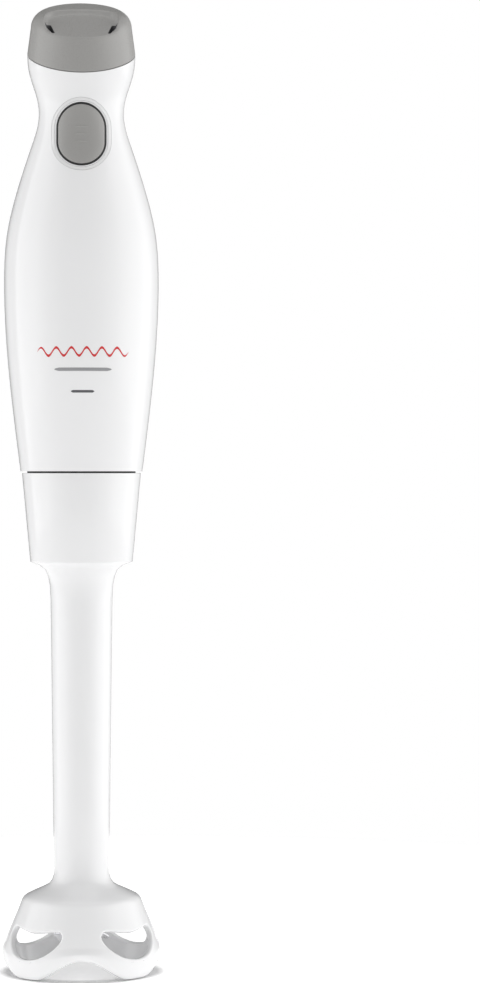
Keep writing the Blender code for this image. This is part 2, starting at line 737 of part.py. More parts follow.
def make_spigot():
    profile = [
        (SPIGOT_RADIUS, SPIGOT_BOTTOM),
        (SPIGOT_RADIUS, 200.9),
        (21.6, 200.9),
        (21.6, 204.4),
        (14.6, 204.4),
        (14.6, 201.8),
        (4.6, 201.8),
        (4.6, 199.2),
        (14.6, 199.2),
        (14.6, SPIGOT_BOTTOM),
    ]
    spigot = add_piece("motor_spigot", turned(profile, 32), "dark_nylon")
    thread_ribs("spigot_lug", (SPIGOT_RADIUS - 0.6, 19.4), LUG_Z, spigot)
    add_piece("shaft_seal", rod(4.4, 199.4, 201.6, 20, bore=RUNNING_BORE), "black_rubber")
    gasket = rod(21.6, 198.0, 200.5, 32, bore=SPIGOT_RADIUS + 0.4)
    add_piece("foot_gasket", gasket, "black_rubber", make_empty("foot_axis"))


# ---------------------------------------------------------------- foot


def rim_height(angle):
    """Height of the bell's lower edge: four flat feet at 45 degrees, four arches between them."""
    arch = RIM_ARCH * math.cos(angle) ** 2 + RIM_SIDE_ARCH * math.sin(angle) ** 2
    return max((arch + RIM_FLAT) * (1 + math.cos(4 * angle)) / 2 - RIM_FLAT, 0.0)


def wave_rim(bm):
    """Lifts the bell's lower part to follow the rim, fading out at RIM_BLEND_Z."""
    for v in bm.verts:
        if v.co.z < RIM_BLEND_Z:
            lift = rim_height(math.atan2(v.co.x, v.co.y))
            v.co.z = lift + v.co.z * (RIM_BLEND_Z - lift) / RIM_BLEND_Z


FOOT_OUTSIDE = (
    (23.7, COLLAR_TOP),
    (20.4, 163.3),
    (17.6, 161.9),
    (15.2, 160.0),
    (13.5, 156.8),
    (12.5, 152.0),
    (11.0, 40.0),
    (11.3, 37.2),
    (12.3, 35.2),
    (14.2, 33.8),
    (21.2, 30.4),
    (23.3, 28.9),
    (24.6, 26.6),
    (31.0, 10.0),
    (31.5, 7.6),
    (31.4, 4.4),
    (31.0, 1.8),
    (30.3, 0.5),
    (29.5, 0.0),
)
FOOT_INSIDE = (
    (27.3, 0.0),
    (27.9, 2.4),
    (28.7, 6.0),
    (28.5, 10.0),
    (22.3, 26.0),
    (20.6, 27.8),
    (13.0, 31.2),
    (8.4, 31.2),
    (8.2, BOSS_BOTTOM),
    (BUSH_SEAT, BOSS_BOTTOM),
    (BUSH_SEAT, 44.0),
    (8.6, 47.0),
    (10.0, 152.0),
    (11.4, 157.6),
    (14.0, 162.0),
    (18.0, 165.5),
    (18.6, 177.0),
    (6.0, 177.0),
    (6.0, SOCKET_FLOOR),
    (SOCKET_RADIUS, SOCKET_FLOOR),
    (SOCKET_RADIUS + 0.3, 197.7),
    (22.0, 197.7),
    (22.0, COLLAR_TOP),
)
WINDOW_OUTLINE = (  # angle from the window's centre in degrees, and height
    (0, 7.8),
    (10, 8.8),
    (19, 11.2),
    (25.6, 14.2),
    (29.2, 17.0),
    (28, 19.2),
    (23, 19.9),
    (12, 18.9),
    (0, 18.4),
)


def window_cutter(centre):
    """A smile-shaped prism through the bell's wall, along the radius at this angle."""
    right = [(WINDOW_RADIUS * math.sin(math.radians(a)), z) for a, z in WINDOW_OUTLINE]
    left = [(-u, z) for u, z in reversed(right[1:-1])]
    bm = prism([(u, -z) for u, z in right + left], 18, 40)
    turn = Matrix.Rotation(math.radians(centre), 4, "Z") @ Matrix.Rotation(math.radians(90), 4, "X")
    bm.transform(turn @ Matrix.Diagonal((1, -1, 1, 1)))
    return bm


def make_foot_housing():
    bm = turned(FOOT_OUTSIDE + FOOT_INSIDE, FOOT_STEPS)
    wave_rim(bm)
    foot = add_piece("foot_housing", bm, "white_plastic", bpy.data.objects["foot_axis"])
    windows = [window_cutter(angle) for angle in WINDOW_ANGLES]
    combine(foot, helper("bell_windows", join(*windows)))
    base = LUG_Z + LUG_THICKNESS + LUG_CLEARANCE
    thread_ribs("collar_rib", (17.8, SOCKET_RADIUS + 0.7), base, foot)


def make_foot_fittings():
    axis = bpy.data.objects["foot_axis"]
    bore = RUNNING_BORE
    bush = [(bore, 177.2), (5.8, 177.2), (5.8, 180.8), (8.5, 180.8), (8.5, 181.5), (bore, 181.5)]
    add_piece("foot_upper_bush", turned(bush, 20), "bronze", axis)
    spacer = [(2.9, 104), (9.0, 104), (9.0, 110), (5.0, 110), (4.6, 106.5), (2.9, 106.5)]
    add_piece("shaft_spacer", turned(spacer, 20), "dark_nylon", axis)
    add_piece("lower_bush", rod(5.2, 28.4, 42.0, 20, bore=bore), "bronze", axis)
    seal = [(bore, 25.0), (3.1, 24.4), (5.2, 24.4), (5.2, 27.9), (3.4, 27.9), (3.4, 26.0), (bore, 25.6)]
    add_piece("lip_seal", turned(seal, 20), "black_rubber", axis)
    cup = [(3.1, 22.4), (7.9, 22.4), (7.9, 23.7), (3.1, 23.7)]
    add_piece("seal_cup", turned(cup, 20), "steel", axis)


def make_drive_line():
    axis = make_empty("foot_shaft_axis")
    coupler = add_piece("foot_coupler", rod(7.2, 182.0, 192.1, 20), "dark_nylon", axis)
    combine(coupler, helper("coupler_socket", prism(hexagon(3.9), 186.6, 195), axis))
    combine(coupler, helper("foot_coupler_bore", rod(BORE, 180, 185.4, 20), axis))
    add_piece("drive_shaft", rod(SHAFT_RADIUS, 10.4, 185.1, 20), "steel", axis)
    hub = [(2.8, 14.6), (6.2, 14.6), (5.6, 16.0), (4.6, 21.6), (2.8, 21.6)]
    add_piece("blade_hub", turned(hub, 20), "dark_nylon", axis)
    nut = add_piece("blade_nut", prism(hexagon(4.3), 9.8, 12.5), "steel", axis)
    combine(nut, helper("nut_bore", rod(2.8, 8, 14, 20), axis))
    blade = add_piece("blade", blade_strip(), "steel", axis)
    combine(blade, helper("blade_bore", rod(2.8, 10, 18, 20), axis))


def blade_strip():
    """Two swept wings in one strip of steel; one wing is bent up and the other down."""
    stations = (-1.0, -0.9, -0.72, -0.55, -0.36, -0.15, 0.15, 0.36, 0.55, 0.72, 0.9, 1.0)
    bend_from = 0.5 * BLADE_LENGTH
    rings = []
    for share in stations:
        reach = abs(share) * BLADE_LENGTH
        side = 1 if share > 0 else -1
        past = max(reach - bend_from, 0.0)
        slope = math.radians(22 if side > 0 else -17)
        along = side * (min(reach, bend_from) + past * math.cos(slope))
        lift = past * math.sin(slope)
        lead, trail = 5.2 - 2.3 * abs(share) ** 2, -5.2 + 2.9 * abs(share) ** 1.5
        if side < 0:
            lead, trail = -trail, -lead
        if abs(share) > 0.95:
            lead, trail = lead * 0.45, trail * 0.45
        low, high = BLADE_Z - BLADE_THICKNESS / 2 + lift, BLADE_Z + BLADE_THICKNESS / 2 + lift
        section = ((trail, low), (lead, low), (lead, high), (trail, high))
        rings.append([Vector((along, w, z)) for w, z in section])
    bm = loft(rings)
    bm.transform(Matrix.Rotation(BLADE_REST_ANGLE, 4, "Z"))
    return bm


def main():
    clear_scene()
    make_materials()
    make_shells()
    make_cap()
    make_button()
    make_switch()
    make_board()
    make_stator()
    make_brackets()
    make_brushes()
    make_armature()
    make_spigot()
    make_foot_housing()
    make_foot_fittings()
    make_drive_line()


main()
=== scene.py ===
"""The looks of the immersion blender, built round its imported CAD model.

Every piece rides on the CAD body that it belongs to. Lengths are in millimetres unless a comment says otherwise,
in the frame of the CAD model: +Z up from the table that the blender stands on, -Y to the front.
"""

import json
import math

import bmesh
import bpy
import numpy as np
from mathutils import Matrix, Vector


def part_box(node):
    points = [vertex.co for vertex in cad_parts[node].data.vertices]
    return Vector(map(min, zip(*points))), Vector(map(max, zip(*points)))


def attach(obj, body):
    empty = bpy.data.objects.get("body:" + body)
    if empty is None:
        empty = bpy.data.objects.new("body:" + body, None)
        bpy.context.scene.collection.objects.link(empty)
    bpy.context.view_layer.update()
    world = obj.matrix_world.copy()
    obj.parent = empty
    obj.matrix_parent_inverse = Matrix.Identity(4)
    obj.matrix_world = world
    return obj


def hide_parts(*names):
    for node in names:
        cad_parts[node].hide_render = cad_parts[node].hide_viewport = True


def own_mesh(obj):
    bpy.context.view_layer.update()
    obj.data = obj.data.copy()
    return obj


MM = 0.001

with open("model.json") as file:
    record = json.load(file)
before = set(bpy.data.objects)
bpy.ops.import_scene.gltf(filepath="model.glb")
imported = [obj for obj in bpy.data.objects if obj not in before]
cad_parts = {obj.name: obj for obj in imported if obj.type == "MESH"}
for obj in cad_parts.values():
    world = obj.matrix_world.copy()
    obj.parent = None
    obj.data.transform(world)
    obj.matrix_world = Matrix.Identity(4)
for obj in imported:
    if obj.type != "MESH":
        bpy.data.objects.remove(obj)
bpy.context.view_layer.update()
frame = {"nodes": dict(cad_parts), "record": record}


def cad(node, corner, axis):
    """One side of a CAD node's box in millimetres: corner 0 is the low side and 1 the high side."""
    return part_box(node)[corner]["xyz".index(axis)] / MM


# Handle
HANDLE_BOTTOM = cad("front_shell", 0, "z")
HANDLE_CURVE = (  # height, radius
    (199.5, 24.3), (221.9, 27.1), (244.3, 29.4), (274.5, 30.8), (294.7, 29.5), (311.5, 25.5), (328.3, 20.1),
    (341.5, 16.9), (349.1, 18.0), (358.7, 20.9), (365.5, 21.5), (377.0, 20.8),
)
WALL = 2.2
SEAM = 0.06  # half the gap between the two shells
LIP_GAP = 0.12  # gap between the shells and the cap
SHELL_COLUMNS = 60
SHELL_ROWS = 84
VENT_HEIGHTS = (206, 210, 214, 218, 222, 300, 304, 308, 312)
VENT_HALF = (8.0, 0.9)

# Cap
JOINT_TILT = math.radians(21)
JOINT_Z = 363.7
JOINT_RISE = 1.9
JOINT_REACH = 21.3
CREST_TILT = math.radians(22)
CREST_Z = 382.5
CAP_RADIUS = 20.1
CAP_FILLET = 6.0
CAP_EDGE_ROUNDING = 0.35
CAP_COLUMNS = 160
CAP_SKIRT_ROWS = 14
CAVITY_RISE = 1.3  # the cap's inner ceiling above the joint
DISH_TILT = math.radians(28)
DISH_Z = 380.3
DISH_CENTRE_Y = -9.0
DISH_HALF = (15.9, 15.5)
DISH_POWER = 2.6  # 2 would make the dish's outline an ellipse, and more makes it squarer
DISH_WALL_FROM = 0.84
DISH_WALL_RISE = 9.0
DISH_SOFTNESS = 0.9
SKIRT_INSETS = (0.5, 2.3)  # the skirt's outer and inner face, counted from the handle's inner wall
SKIRT_DEPTH = 4.0
EYE_SLOT_HALF = (1.3, 0.55)  # half widths at its rear and its front end
EYE_SLOT_ENDS = ((13.2, -8.4), (11.0, -15.2))
EYE_TUNNEL = ((-12.6, 12.6), (-14.2, -8.2), (365.0, 370.0))
EYE_CUT_TOP = 392
CORD_Z = 377.5
CORD_BORE = 4.3

# Button
BUTTON_Z = (cad("button_seal", 0, "z") + cad("button_seal", 1, "z")) / 2
HOLE_HALF = (10.0, 12.85)
HOLE_RINGS = (3.4, 2.6, 2.1, 1.9, 1.84, 1.78, 1.6, 1.2, 0.7, 0.52, 0.46, 0.4, 0.3, 0.2, 0.12, 0.06, 0.02, 0.0)
BUTTON_HALF = (9.15, 12.0)
BUTTON_STEPS = 96
BUTTON_ROLL = 0.55  # radius of the rolled edge
BUTTON_SAG = 0.35  # how far the crown drops towards the edge
RECESS_WIDTH = 1.9
RECESS_DEPTH = 0.45
RECESS_WALL = 0.12
LIP_WIDTH = 0.4
PATCH_HALF = (math.radians(60), 18.5)  # the part of the shell round the hole that has its own mesh
BUTTON_CROWN = 0.6
BUTTON_BACK = -11.2
TAB_HEIGHTS = ((BUTTON_Z - 14.45, BUTTON_Z - 10.5), (BUTTON_Z + 10.5, BUTTON_Z + 14.45))
GRIP_RIBS = (-3.0, 0.0, 3.0)
GRIP_RIB_HALF = (2.6, 0.42)
GRIP_RIB_HEIGHT = 0.16
SPRING_RADIUS = 3.1
SPRING_WIRE = 0.3
SPRING_TURNS = 3
SPRING_END_TURNS = 0.75
SPRING_CLEARANCE = 0.02

# Foot
COLLAR_TOP = cad("foot_housing", 1, "z")
RIM_ARCH = 8.2
RIM_SIDE_ARCH = 4.2
RIM_FLAT = 0.9
RIM_SOFTNESS = 0.85
RIM_BLEND_Z = 13.0
FOOT_COLUMNS = 144
FOOT_OUTSIDE = (  # radius, height and fillet, from the collar's top down to the bell
    (22.9, COLLAR_TOP), (23.7, COLLAR_TOP, 0.35), (20.4, 163.5, 0.25), (16.6, 162.0), (14.4, 160.2),
    (13.3, 157.6), (12.6, 154.0), (12.3, 148.0), (12.0, 125.0), (11.6, 90.0), (11.2, 55.0), (11.0, 41.0),
    (11.15, 38.6), (11.7, 36.6), (13.0, 34.9), (15.2, 33.7), (19.2, 31.9), (22.1, 30.5), (23.1, 29.7),
    (23.7, 28.8), (24.1, 27.8),
)
FOOT_RIM = ((31.3, 3.4), (31.0, 1.6), (30.6, 0.0, 0.9), (27.4, 0.0, 0.6), (27.6, 1.0), (28.2, 3.4))
FOOT_INSIDE = (  # radius and height, from the bell's ceiling through the tube up to the collar's top
    (22.2, 26.4), (20.6, 28.2), (17.5, 29.6), (13.0, 31.0), (10.0, 31.2), (8.4, 30.6), (8.2, 29.0), (8.2, 24.3),
    (7.9, 24.0), (5.7, 24.0), (5.5, 24.2), (5.5, 44.0), (8.6, 47.0), (10.0, 152.0), (11.4, 157.6),
    (14.0, 162.0), (18.0, 165.5), (18.6, 177.0), (6.0, 177.0), (6.0, 180.5), (19.6, 180.5), (20.0, 180.9),
    (20.3, 197.7), (22.0, 197.7), (22.0, COLLAR_TOP - 0.25), (22.25, COLLAR_TOP),
)
BELL_CURVE = (  # height before the wave, radius
    (5.0, 31.4), (7.6, 31.55), (10.0, 31.0), (14.0, 29.75), (19.0, 27.75), (24.6, 25.3), (26.6, 24.4),
)
BELL_WALL = 2.5
BELL_ZONE = (24.0, 7.0)  # heights, before the wave, between which the bell's wall is one thickness
BELL_ZONE_ROWS = 20
WINDOW_OUTLINE = (  # angle from the window's centre in degrees, height
    (0, 7.9), (11, 8.9), (20, 11.4), (26.4, 14.4), (29.0, 17.0), (27.4, 18.9), (23, 19.5), (12, 18.8),
    (0, 18.3),
)
WINDOW_HEART_Z = 13.9
WINDOW_RADIUS = 30.0
WINDOW_FILLET = 0.75
WINDOW_COLUMNS = 13  # columns of the foot to each side of a window's centre that its patch takes up
WINDOW_TOP_ROW = 2

# Thread of the joint
THREAD_LEAD = 18.0
THREAD_ARC = math.radians(70)
LUG_Z = 187.0
LUG_THICKNESS = 2.2
LUG_CLEARANCE = 0.4
LUG_LEAD_IN = 0.18  # the share of a rib's length over which each end tapers
SPIGOT_PROFILE = (
    (17.2, 185.0, 0.6), (17.2, 200.9), (21.6, 200.9, 0.3), (21.6, 204.4, 0.3), (14.6, 204.4), (14.6, 201.8),
    (4.6, 201.8, 0.2), (4.6, 199.2, 0.3), (14.6, 199.2, 0.4), (14.6, 185.0, 0.4),
)

# Blade
BLADE_Z = 13.6
BLADE_THICKNESS = 1.2
BLADE_LENGTH = 22.5
BLADE_BENDS = (math.radians(22), math.radians(-17))
BLADE_REST_ANGLE = math.radians(-116)
HUB_PROFILE = ((2.6, 14.3), (6.2, 14.3, 0.3), (6.2, 15.0, 0.5), (4.9, 17.2, 2.0), (4.5, 21.6, 0.5), (2.6, 21.6))
NUT_RADIUS = 4.3
NUT_HEIGHTS = (9.8, 12.5)
SHAFT_PROFILE = ((0, 10.4), (2.5, 10.4, 0.5), (2.5, 185.1, 0.5), (0, 185.1))
SEAL_CUP_PROFILE = ((3.1, 22.4, 0.3), (7.9, 22.4, 0.5), (7.9, 23.7, 0.2), (3.1, 23.7, 0.2))

# Materials
TINT_SIZE = 22  # the size of the wide, weak patches of colour
FINISHES = (  # name, colour, roughness, metallic, change of colour, size of the fine texture, its strength
    ("white_plastic", (0.86, 0.86, 0.865), 0.11, 0.0, 0.006, 0.4, 0.012),
    ("grey_plastic", (0.33, 0.325, 0.315), 0.29, 0.0, 0.012, 0.25, 0.1),
    ("black_rubber", (0.022, 0.022, 0.023), 0.6, 0.0, 0.05, 0.3, 0.15),
    ("dark_nylon", (0.07, 0.07, 0.075), 0.45, 0.0, 0.04, 0.3, 0.12),
    ("steel", (0.68, 0.68, 0.7), 0.2, 1.0, 0.02, 0.15, 0.05),
    ("lamination", (0.36, 0.37, 0.4), 0.45, 1.0, 0.05, 0.4, 0.1),
    ("copper", (0.72, 0.3, 0.12), 0.3, 1.0, 0.06, 0.5, 0.3),
    ("bronze", (0.55, 0.38, 0.18), 0.42, 1.0, 0.05, 0.2, 0.2),
    ("zinc", (0.55, 0.56, 0.58), 0.4, 1.0, 0.03, 0.4, 0.2),
    ("carbon", (0.04, 0.04, 0.042), 0.55, 0.0, 0.08, 0.4, 0.1),
    ("board", (0.03, 0.17, 0.07), 0.4, 0.0, 0.05, 0.4, 0.05),
    ("component", (0.55, 0.4, 0.08), 0.4, 0.0, 0.03, 0.4, 0.05),
    # A lighter grey for the ring in the groove round the button, which is painted shade.
    ("groove_painted_shade", (0.76, 0.76, 0.76), 0.3, 0.0, 0.01, 0.25, 0.05),
    ("red_print", (0.62, 0.025, 0.03), 0.35, 0.0, 0.02, 0.4, 0.0),
    ("grey_print", (0.3, 0.3, 0.31), 0.35, 0.0, 0.02, 0.4, 0.0),
    ("dark_print", (0.1, 0.1, 0.11), 0.35, 0.0, 0.02, 0.4, 0.0),
)
FLOOR_FINISH = ("floor", (0.93, 0.93, 0.93), 0.6, 0.0, 0.01, 4.0, 0.0)

# Studio
FLOOR_RADIUS = 0.45  # metres
FLOOR_DROP = 0.3
GLOW_REACH = 0.1  # metres from the axis
FLOOR_GLOW_AND_PAINTED_SHADOW = (  # metres from the axis and strength of the floor's glow; the ring right below the rim where the glow is off is a painted contact shadow, and the weaker glow under the bell is painted light in the bell's shade
    (0.0, 0.34), (0.021, 0.34), (0.026, 0.04), (0.0295, 0.0), (0.0345, 0.5),
)
GROUND_LIGHT = 0.97
GROUND_EDGE = (0.13, 0.18)  # how far a view direction dips before it meets the bright ground round the floor
CEILING_LIGHT = 0.25
CEILING_EDGE = (0.55, 0.8)  # the rise over which the walls pass into the ceiling
OVERHEAD_POWER = 2.6
OVERHEAD_HEIGHT = 1.25  # metres
CAMERA_PLACE = (0.0, -1.22, 0.1992)  # metres
CAMERA_AIM = (0.0634, 0.0, 0.1914)  # metres
CAMERA_LENS = 111.7
WALL_LIGHT = (  # azimuth in degrees, 0 at the front and 90 to the right, and brightness
    (-180, 0.05), (-156, 0.08), (-150, 0.45), (-118, 0.5), (-113, 1.8), (-74, 1.8), (-46, 0.95), (-22, 0.5),
    (22, 0.5), (46, 1.05), (70, 1.95), (112, 1.95), (140, 0.5), (156, 0.5), (166, 0.05), (180, 0.05),
)


# ---- small tools


def smooth_curve(points):
    """A natural cubic spline through (position, value) points, as a function."""
    x = np.array([p[0] for p in points], float)
    y = np.array([p[1] for p in points], float)
    h = np.diff(x)
    n = len(x)
    matrix, right = np.eye(n), np.zeros(n)
    for i in range(1, n - 1):
        matrix[i, i - 1 : i + 2] = h[i - 1], 2 * (h[i - 1] + h[i]), h[i]
        right[i] = 6 * ((y[i + 1] - y[i]) / h[i] - (y[i] - y[i - 1]) / h[i - 1])
    bend = np.linalg.solve(matrix, right)

    def value(position):
        i = int(np.clip(np.searchsorted(x, position) - 1, 0, n - 2))
        a, b = x[i + 1] - position, position - x[i]
        linear = (y[i] / h[i] - bend[i] * h[i] / 6) * a + (y[i + 1] / h[i] - bend[i + 1] * h[i] / 6) * b
        return float((bend[i] * a**3 + bend[i + 1] * b**3) / (6 * h[i]) + linear)

    return value


def rounded(points, steps=5):
    """A polyline of (r, z) or (r, z, fillet) points with each filleted corner replaced by an arc."""
    out = []
    n = len(points)
    for i, point in enumerate(points):
        here = Vector(point[:2])
        if len(point) < 3:
            out.append(tuple(here))
            continue
        before, after = Vector(points[i - 1][:2]), Vector(points[(i + 1) % n][:2])
        a, b = (before - here).normalized(), (after - here).normalized()
        half = a.angle(b) / 2
        reach = min(point[2] / math.tan(half), 0.49 * min((before - here).length, (after - here).length))
        radius = reach * math.tan(half)
        centre = here + (a + b).normalized() * radius / math.sin(half)
        start, end = here + a * reach - centre, here + b * reach - centre
        sweep = start.angle_signed(end)
        for k in range(steps + 1):
            out.append(tuple(centre + Matrix.Rotation(-sweep * k / steps, 2) @ start))
    return out


def new_object(name, data):
    """An object in the scene with this data."""
    obj = bpy.data.objects.new(name, data)
    bpy.context.scene.collection.objects.link(obj)
    return obj


def new_mesh(name, bm):
    """A mesh in metres from a closed bmesh in millimetres, with its faces outward."""
    bmesh.ops.recalc_face_normals(bm, faces=bm.faces)
    if bm.calc_volume(signed=True) < 0:
        bmesh.ops.reverse_faces(bm, faces=bm.faces)
    bm.transform(Matrix.Scale(MM, 4))
    mesh = bpy.data.meshes.new(name)
    bm.to_mesh(mesh)
    bm.free()
    return mesh


def piece(name, bm, body, slot, replaces=(), sharp=35, material=None):
    """A bmesh in millimetres as a shown piece, in its slot's material unless another one is named."""
    mesh = new_mesh(name, bm)
    mesh.shade_smooth()
    mesh.set_sharp_from_angle(angle=math.radians(sharp))
    obj = new_object(name, mesh)
    mesh.materials.append(material or MATERIALS[slot])
    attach(obj, body)
    if replaces:
        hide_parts(*replaces)
    return obj


def cut(obj, *cutters, inside=None):
    """Subtracts closed bmeshes, in millimetres, from a piece; the cut faces may have their own material."""
    for bm in cutters:
        mesh = new_mesh("cutter", bm)
        if inside:
            mesh.materials.append(inside)
        tool = new_object("cutter", mesh)
        modifier = obj.modifiers.new("cut", "BOOLEAN")
        modifier.solver = "EXACT"
        modifier.material_mode = "TRANSFER" if inside else "INDEX"
        modifier.object = tool
        result = bpy.data.meshes.new_from_object(obj.evaluated_get(bpy.context.evaluated_depsgraph_get()))
        obj.modifiers.clear()
        obj.data = result
        bpy.data.objects.remove(tool)
    return obj


def turns(count):
    """This many angles, evenly once round."""
    return [2 * math.pi * k / count for k in range(count)]


def on_circle(radius, angle, z):
    """A point this far from the Z axis; angle 0 is the front."""
    return radius * math.sin(angle), -radius * math.cos(angle), z


def quads(a, b):
    """The corners of the quads between two rings of equal length."""
    return zip(a, a[1:] + a[:1], b[1:] + b[:1], b)


def bridge(bm, a, b):
    """Quads between two rings of vertices."""
    for corners in quads(a, b):
        bm.faces.new(corners)


def grid_mesh(rings, closed_loop=False):
    """Rings of points joined in order. A ring of one point makes a fan."""
    bm = bmesh.new()
    made = [[bm.verts.new(p) for p in ring] for ring in rings]
    pairs = list(zip(made, made[1:]))
    if closed_loop:
        pairs.append((made[-1], made[0]))
    for a, b in pairs:
        if len(a) == 1 or len(b) == 1:
            point, ring = (a[0], b) if len(a) == 1 else (b[0], a)
            for i in range(len(ring)):
                bm.faces.new((point, ring[i], ring[(i + 1) % len(ring)]))
        else:
            bridge(bm, a, b)
    return bm


def close_ends(bm, sides):
    """Caps a swept form whose rings have this many points: its first and its last ring each become a face."""
    bm.verts.ensure_lookup_table()
    for first in (0, len(bm.verts) - sides):
        bm.faces.new([bm.verts[first + i] for i in range(sides)])


def revolved(profile, steps=96):
    """A closed (r, z) profile turned about Z; points on the axis become one vertex."""
    rings = []
    for r, z in profile:
        if r < 1e-6:
            rings.append([(0, 0, z)])
        else:
            rings.append([on_circle(r, a, z) for a in turns(steps)])
    solid_ends = len(rings[0]) == 1 and len(rings[-1]) == 1
    return grid_mesh(rings, closed_loop=not solid_ends)


def prism(outline, low, high):
    """A closed (x, y) outline raised from one height to another."""
    bm = bmesh.new()
    face = bm.faces.new([bm.verts.new((x, y, low)) for x, y in outline])
    made = bmesh.ops.extrude_face_region(bm, geom=[face])
    top = [g for g in made["geom"] if isinstance(g, bmesh.types.BMVert)]
    bmesh.ops.translate(bm, vec=(0, 0, high - low), verts=top)
    return bm


def block(x, y, z):
    """A box with these (low, high) sides."""
    bm = bmesh.new()
    bmesh.ops.create_cube(bm, size=1.0)
    size = Matrix.Diagonal((x[1] - x[0], y[1] - y[0], z[1] - z[0], 1))
    bm.transform(Matrix.Translation(((x[0] + x[1]) / 2, (y[0] + y[1]) / 2, (z[0] + z[1]) / 2)) @ size)
    return bm


def laid_along_y(bm, y, z):
    """Turns a form so that its Z axis points to the rear, and moves its origin to this y and z."""
    bm.transform(Matrix.Translation((0, y, z)) @ Matrix.Rotation(math.radians(-90), 4, "X"))
    return bm


class Sheet:
    """Quads over a (u, v) domain with holes that have their own rings, used for both faces of a wall."""

    def __init__(self):
        self.points, self.faces, self.index = [], [], {}

    def vertex(self, u, v):
        """The number of the point at (u, v), which is made if there is none."""
        key = (round(u, 7), round(v, 6))
        if key not in self.index:
            self.index[key] = len(self.points)
            self.points.append((u, v))
        return self.index[key]

    def grid(self, us, vs, skip=()):
        """All cells of a grid, apart from those inside a skipped (i from, i to, j from, j to) rectangle."""
        for i in range(len(us) - 1):
            for j in range(len(vs) - 1):
                if any(a <= i < b and c <= j < d for a, b, c, d in skip):
                    continue
                corners = ((us[i], vs[j]), (us[i + 1], vs[j]), (us[i + 1], vs[j + 1]), (us[i], vs[j + 1]))
                self.faces.append(tuple(self.vertex(*c) for c in corners))

    def rings(self, loops):
        """Bands between loops of equal length."""
        ids = [[self.vertex(*p) for p in loop] for loop in loops]
        for a, b in zip(ids, ids[1:]):
            self.faces.extend(quads(a, b))


def rectangle_loop(us, vs, i0, i1, j0, j1):
    """The grid points round a rectangle of cells, in order."""
    loop = [(us[i], vs[j0]) for i in range(i0, i1)]
    loop += [(us[i1], vs[j]) for j in range(j0, j1)]
    loop += [(us[i], vs[j1]) for i in range(i1, i0, -1)]
    loop += [(us[i0], vs[j]) for j in range(j1, j0, -1)]
    return loop


# ---- materials


def add_node(tree, kind, inputs, **settings):
    """A shader node whose inputs are given values, or are linked where an output is given."""
    node = tree.nodes.new(kind)
    for key, value in settings.items():
        setattr(node, key, value)
    for key, value in inputs.items():
        if isinstance(value, bpy.types.NodeSocket):
            tree.links.new(value, node.inputs[key])
        else:
            node.inputs[key].default_value = value
    return node


def grey(level):
    """A shader colour of this brightness."""
    return (level, level, level, 1)


def grey_ramp(tree, value, stops):
    """The brightness at a value between (position, brightness) stops, with soft passages."""
    node = add_node(tree, "ShaderNodeValToRGB", {"Fac": value})
    node.color_ramp.interpolation = "EASE"
    elements = node.color_ramp.elements
    elements[0].position, elements[1].position = stops[0][0], stops[-1][0]
    for position, _ in stops[1:-1]:
        elements.new(position)
    for element, (_, level) in zip(elements, stops):
        element.color = grey(level)
    return node.outputs["Color"]


def new_material(name, colour, roughness, metallic, speckle, speckle_size, bump):
    """A moulded or metal surface: colour and roughness vary a little, and a fine texture stands on it."""
    material = bpy.data.materials.new(name)
    material.use_nodes = True
    tree = material.node_tree
    shader = tree.nodes["Principled BSDF"]
    shader.inputs["Metallic"].default_value = metallic
    place = tree.nodes.new("ShaderNodeTexCoord").outputs["Object"]

    def noise(size, detail):
        inputs = {"Vector": place, "Scale": 1.0 / (size * MM), "Detail": detail}
        return add_node(tree, "ShaderNodeTexNoise", inputs).outputs["Fac"]

    fine, wide = noise(speckle_size, 3.0), noise(TINT_SIZE, 2.0)
    dark, light = ((*[min(c * (1 + s), 1.0) for c in colour], 1) for s in (-speckle, speckle))
    tint = add_node(tree, "ShaderNodeMix", {"Factor": wide, "A": dark, "B": light}, data_type="RGBA")
    tree.links.new(tint.outputs["Result"], shader.inputs["Base Color"])
    spread = {"From Min": 0.3, "From Max": 0.7, "To Min": roughness * 0.88, "To Max": roughness * 1.12}
    rough = add_node(tree, "ShaderNodeMapRange", {"Value": fine, **spread})
    tree.links.new(rough.outputs["Result"], shader.inputs["Roughness"])
    if bump:
        relief = add_node(tree, "ShaderNodeBump", {"Height": fine, "Strength": bump, "Distance": 0.05 * MM})
        tree.links.new(relief.outputs["Normal"], shader.inputs["Normal"])
    return material


MATERIALS = {values[0]: new_material(*values) for values in FINISHES}


def dress_cad_nodes():
    """Gives every carried-over CAD node the material of its slot in the record."""
    for entry in frame["record"]["subparts"]:
        mesh = frame["nodes"][entry["node"]].data
        mesh.materials.clear()
        mesh.materials.append(MATERIALS[entry["material_slot"]])
        for polygon in mesh.polygons:
            polygon.material_index = 0


# ---- handle


handle_radius = smooth_curve(HANDLE_CURVE)


def joint_height(y):
    """Height of the slanting, slightly arched joint of handle and cap."""
    return JOINT_Z + math.tan(JOINT_TILT) * y + JOINT_RISE * (1 - (y / JOINT_REACH) ** 2)


def joint_at(angle):
    """Height where the handle's outer surface meets the cap; angle 0 is the front."""
    height = JOINT_Z
    for _ in range(8):
        height = joint_height(-handle_radius(height) * math.cos(angle))
    return height


def oval(half, grow, steps):
    """An (x, z) outline round the button's centre: half circles above and below, joined by straight sides."""
    return [oval_point(half, grow, a) for a in turns(steps)]


def oval_point(half, grow, angle):
    """The (x, z) point of that outline at one angle."""
    radius = half[0] + grow
    straight = half[1] - half[0]
    x, z = radius * math.cos(angle), (radius + straight) * math.sin(angle)
    if abs(z) * radius <= straight * abs(x):
        return math.copysign(radius, x), z * radius / abs(x)
    size = math.hypot(x, z)
    rise = straight * abs(z) / size
    reach = rise + math.sqrt(radius**2 - straight**2 + rise**2)
    return x / size * reach, z / size * reach


